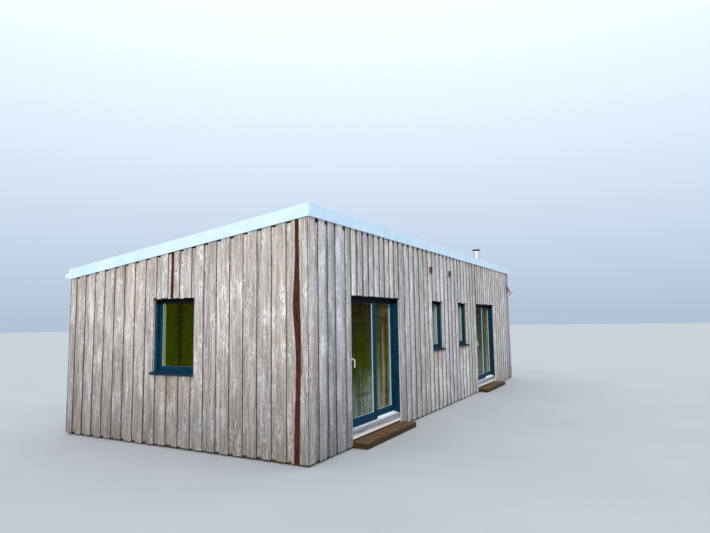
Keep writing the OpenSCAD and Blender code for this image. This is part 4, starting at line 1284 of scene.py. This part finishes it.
def doors_and_glass():
    """Both doorways, with the fixed panes that share one node."""
    units = Shell()
    for n in (1, 2):
        door_frame(n)
        fixed_leaf(n, sliding_leaf(n), units)
        coat(f"door_{n}_handle", lever_coat)
    piece("fixed_door_glass_units", units, (outer_glass, spacer_plastic, fixed_glass),
          ("fixed_door_glass",))
    coat("door_tracks", satin_aluminium)
    eased("cill_boards", "washed_cill_boards", cill_larch_lit_edge, 3 * MM)


def sleeper_step(n, draw):
    """A sawn sleeper with worn edges and a packer behind it that runs in below the door."""
    low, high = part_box(f"step_{n}")
    shell = Shell()
    wear, sections = 7 * MM, 36
    seed = draw.uniform(0, 50)
    rings = []
    for k in range(sections + 1):
        x = low.x + (high.x - low.x) * k / sections
        inset = wear if k in (0, sections) else 0.0
        lift = drift(seed, x, 2.5 * MM)
        sway = drift(seed + 5, x, 3 * MM)
        ya, yb = low.y + inset + max(0.0, sway), front_y - MM
        za, zb = low.z + inset, high.z - inset * 0.7 - abs(lift)
        rings.append([Vector((x, y, z)) for y, z in (
            (ya + wear, za), (yb, za), (yb, zb - wear * 0.4), (yb - wear * 0.4, zb),
            (ya + wear * 1.3, zb), (ya + wear * 0.4, zb - wear * 0.4),
            (ya, zb - wear * 1.3), (ya, za + wear))])
    shell.add(*loft(rings))
    left, right, _, _ = doors[n - 1]
    block(shell, (left_x + left + MM, front_y, low.z),
          (left_x + right - MM, front_y + cladding_t - MM, high.z - 3 * MM), 2 * MM)
    piece(f"sleeper_step_{n}", shell, (sleeper_oak,), (f"step_{n}",))


def edge_trims():
    """The folded white trims with eased folds, and their joint covers, corner covers and
    rivets."""
    for node in ("front_trim", "left_trim", "right_trim", "rear_trim"):
        eased(node, node + "_sheet", white_coated_steel, 0.8 * MM)
    shell = Shell()
    proud = front_y - trim_low.y
    depths = (proud - 0.5 * MM, proud + 0.7 * MM)
    foot_gap, head_gap = MM, 2 * MM
    joint_half, end_half, front_half = 22 * MM, 40 * MM, 30 * MM
    sheets, first_shift, end_joint = 5, 60 * MM, 0.52
    rivet = 1

    def cover(side, across, half_w):
        spans = (across - half_w, across + half_w)
        if side is front_side:
            foot = trim_foot_z(spot(side, across, 0, 0).y)
            side_block(shell, side, spans, depths, (foot + foot_gap, foot + trim_h - head_gap),
                       0.3 * MM)
        else:
            rings = []
            for a in spans:
                z = trim_foot_z(spot(side, a, 0, 0).y)
                rings.append([spot(side, a, out, z + h) for out, h in (
                    (depths[0], foot_gap), (depths[1], foot_gap),
                    (depths[1], trim_h - head_gap), (depths[0], trim_h - head_gap))])
            shell.add(*loft(rings))
        for a in (across - 0.55 * half_w, across + 0.55 * half_w):
            for share in (0.15, 0.85):
                z = trim_foot_z(spot(side, a, 0, 0).y) + trim_h * share
                screw_head(shell, spot(side, a, depths[1], z), side.out, 4 * MM, 1.2 * MM,
                           rivet)

    for k in range(1, sheets):
        cover(front_side, front_side.length * k / sheets + first_shift, joint_half)
    for side in (left_side, right_side):
        cover(side, side.length * end_joint, joint_half)
        cover(side, -proud + end_half, end_half)
    cover(front_side, -proud + front_half, front_half)
    cover(front_side, front_side.length + proud - front_half, front_half)
    piece("trim_covers_and_rivets", shell, (white_coated_steel, dull_zinc))


def rainwater_goods():
    """The rear gutter with its brackets and joints, and the downpipe."""
    eased("gutter", "gutter_trough", white_upvc, 1.5 * MM)
    coat("downpipe", white_upvc)
    low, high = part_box("gutter")
    length = high.x - low.x
    shell = Shell()
    strap_t = 2.5 * MM
    bevel = (high.y - low.y) / 5
    brackets, end_room = 13, 0.2

    def hoop(x, width, gap):
        outline = [(low.y, high.z + strap_t), (low.y, low.z - gap - strap_t),
                   (high.y - bevel + gap, low.z - gap - strap_t),
                   (high.y + gap + strap_t, low.z + bevel - gap),
                   (high.y + gap + strap_t, high.z + strap_t), (high.y + gap, high.z + strap_t),
                   (high.y + gap, low.z + bevel), (high.y - bevel, low.z - gap),
                   (low.y + strap_t, low.z - gap), (low.y + strap_t, high.z + strap_t)]
        shell.add(*loft([[Vector((x + w, y, z)) for y, z in outline]
                         for w in (-width / 2, width / 2)]))

    for k in range(brackets):
        hoop(low.x + end_room + (length - 2 * end_room) * k / (brackets - 1), 24 * MM,
             0.3 * MM)
    for share in (0.25, 0.5, 0.75):
        hoop(low.x + length * share + 0.3, 90 * MM, 1.5 * MM)
    piece("gutter_brackets_and_joints", shell, (white_upvc,))


def roof():
    """The ribbed sheets' and the ceiling's own finishes, and the washered screws in the ribs."""
    coat("roof_panels", grey_coated_steel)
    coat("roof_deck", pine_ceiling)
    low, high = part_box("roof_panels")
    shell = Shell()
    ribs, rib_foot_w, rib_top = 37, 68 * MM, 3.1 * MM
    rows, first_row, row_pitch = 7, 0.35, 0.78
    washer_t = 1.6 * MM
    pitch = (high.x - low.x - rib_foot_w) / ribs
    rise = trim_foot_z(0) + trim_h - rib_top
    up = Vector((0, roof_fall, 1)).normalized()
    for i in range(1, ribs):
        for k in range(rows):
            y = front_y + first_row + k * row_pitch
            top = Vector((low.x + rib_foot_w / 2 + i * pitch, y, rise - y * roof_fall))
            screw_head(shell, top, up, 9 * MM, washer_t)
            screw_head(shell, top + up * washer_t, up, 5 * MM, 4 * MM)
    piece("roof_screws", shell, (dull_zinc,))


def flue():
    """The flue with its locking bands, the rimmed cap on its feet, and the collar's storm
    band."""
    low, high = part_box("flue_pipe")
    centre = ((low.x + high.x) / 2, (low.y + high.y) / 2)
    radius = (high.x - low.x) / 2
    inner, axis = radius - 6 * MM, 0.3 * MM
    shell = Shell()
    profile = [(axis, low.z + 2 * MM), (radius - MM, low.z + 2 * MM)]
    for band in (high.z - 330 * MM, high.z - 60 * MM):
        profile += [(radius - MM, band), (radius + 1.5 * MM, band + 2 * MM),
                    (radius + 1.5 * MM, band + 8 * MM), (radius, band + 12 * MM),
                    (radius + 1.5 * MM, band + 16 * MM), (radius + 1.5 * MM, band + 24 * MM),
                    (radius - MM, band + 26 * MM)]
    profile += [(radius - MM, high.z - 2 * MM), (radius - 2 * MM, high.z), (inner, high.z),
                (inner, high.z - radius), (axis, high.z - radius)]
    turned(shell, centre, profile)
    piece("flue_pipe_turned", shell, (flue_stainless,), ("flue_pipe",))
    eased("flue_cap", "flue_cap_rimmed", cap_steel_painted_shade, 1.5 * MM)
    eased("flue_collar", "flue_collar_dressed", flue_stainless, 1.5 * MM)
    shell = Shell()
    collar_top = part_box("flue_collar")[1].z
    skirt_r = radius + 17 * MM
    turned(shell, centre, [(radius + 0.5 * MM, collar_top - 2 * MM),
                           (skirt_r, collar_top - 6 * MM), (skirt_r + MM, collar_top - 4 * MM),
                           (radius + 3 * MM, collar_top + 22 * MM),
                           (radius + 0.5 * MM, collar_top + 23 * MM)])
    piece("flue_storm_band", shell, (flue_stainless,))


def lamp():
    """The lamp's painted head with dark glass in its rim, and its strap."""
    eased("lamp_head", "lamp_housing", cast_aluminium, 1.2 * MM)
    eased("lamp_bracket", "lamp_strap", lamp_strap_steel, 0.8 * MM)
    low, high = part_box("lamp_head")
    middle = (low + high) / 2
    tilt = math.radians(39)
    out = Vector((0, -math.cos(tilt), -math.sin(tilt)))
    up = Vector((0, -math.sin(tilt), math.cos(tilt)))
    shell = Shell()
    half_w, half_l, lens_out, lens_t = 90 * MM, 100 * MM, 12 * MM, 4 * MM
    shell.add(*loft([[middle + out * (lens_out - depth) + east * x * half_w + up * z * half_l
                      for x, z in ((-1, -1), (1, -1), (1, 1), (-1, 1))]
                     for depth in (0.0, lens_t)]))
    piece("lamp_lens", shell, (lamp_glass,))


def vents():
    """The two brown louvred vents with their corner screws."""
    eased("wall_vents", "louvred_vents", brown_abs, 0.8 * MM)
    low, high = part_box("wall_vents")
    half = (high.z - low.z) / 2
    reach = half - 7 * MM
    shell = Shell()
    for x in (low.x + half, high.x - half):
        for a in (-reach, reach):
            for b in (-reach, reach):
                screw_head(shell, Vector((x + a, low.y, low.z + half + b)), -north, 3 * MM,
                           0.8 * MM)
    piece("vent_screws", shell, (dull_zinc,))


def pale_floor():
    """The even floor that the cabin stands on for its picture."""
    mesh = bpy.data.meshes.new("pale_floor")
    reach = 150.0
    mesh.from_pydata([(-reach, -reach, 0), (reach, -reach, 0), (reach, reach, 0),
                      (-reach, reach, 0)], [], [[0, 1, 2, 3]])
    mesh.materials.append(mottled("pale_studio_floor", ("#b6b7b8", "#bbbcbc"), 2.5, MM,
                                  strength=0.02, Roughness=0.9, IOR=1.4))
    put("pale_floor", mesh)


def sky_and_sun():
    """A soft sky that pales upwards, and a warm low sun from the left."""
    world = bpy.data.worlds.new("soft_sky")
    bpy.context.scene.world = world
    world.use_nodes = True
    tree = world.node_tree
    sky = tree.nodes["Background"]
    sky.inputs["Strength"].default_value = 1.5
    ray = add(tree, "SeparateXYZ", add(tree, "TexCoord").outputs["Generated"])
    rise = add(tree, "MapRange", ray.outputs["Z"], 0.0, 0.6)
    shades = add(tree, "Mix", data_type="RGBA", Factor=rise, A=linear("#93a3b4"),
                 B=linear("#d9e3f0"))
    tree.links.new(next(o for o in shades.outputs if o.enabled), sky.inputs["Color"])
    sun = put("warm_key", bpy.data.lights.new("warm_key", "SUN"))
    sun.data.energy = 1.85
    sun.data.angle = math.radians(6)
    sun.data.color = linear("#fff4e6")[:3]
    towards_sun = Vector((-0.88, -0.33, 0.35))
    sun.rotation_euler = towards_sun.to_track_quat("Z", "Y").to_euler()


def camera_of_the_photograph():
    """The camera at the photograph's place: its height, heading, tilt and slight roll."""
    sensor_w = 36.0
    focal_px, picture_px = 534.7, 710
    camera = put("camera", bpy.data.cameras.new("camera"))
    camera.data.sensor_width = sensor_w
    camera.data.lens = sensor_w * focal_px / picture_px
    camera.data.clip_end = 400
    camera.location = (-12.436, -6.870, 1.997)
    heading, tilt, roll = (math.radians(a) for a in (61.38, 5.76, -0.89))
    turn = Euler((math.pi / 2 + tilt, 0, -heading)).to_matrix()
    camera.rotation_euler = (turn @ Euler((0, 0, roll)).to_matrix()).to_euler()
    bpy.context.scene.camera = camera
    bpy.context.scene.view_settings.view_transform = "Standard"


draw = random.Random(7)
front_walls(draw)
rear_wall(draw)
end_wall("left", left_side, draw)
end_wall("right", right_side, draw)
windows()
doors_and_glass()
for n in (1, 2):
    sleeper_step(n, draw)
edge_trims()
rainwater_goods()
roof()
flue()
lamp()
vents()
eased("window_sills", "folded_sills", sill_coat_painted_shade, 1 * MM)
coat("base_frame", treated_softwood)
coat("floor_deck", oak_floor)
pale_floor()
sky_and_sun()
camera_of_the_photograph()
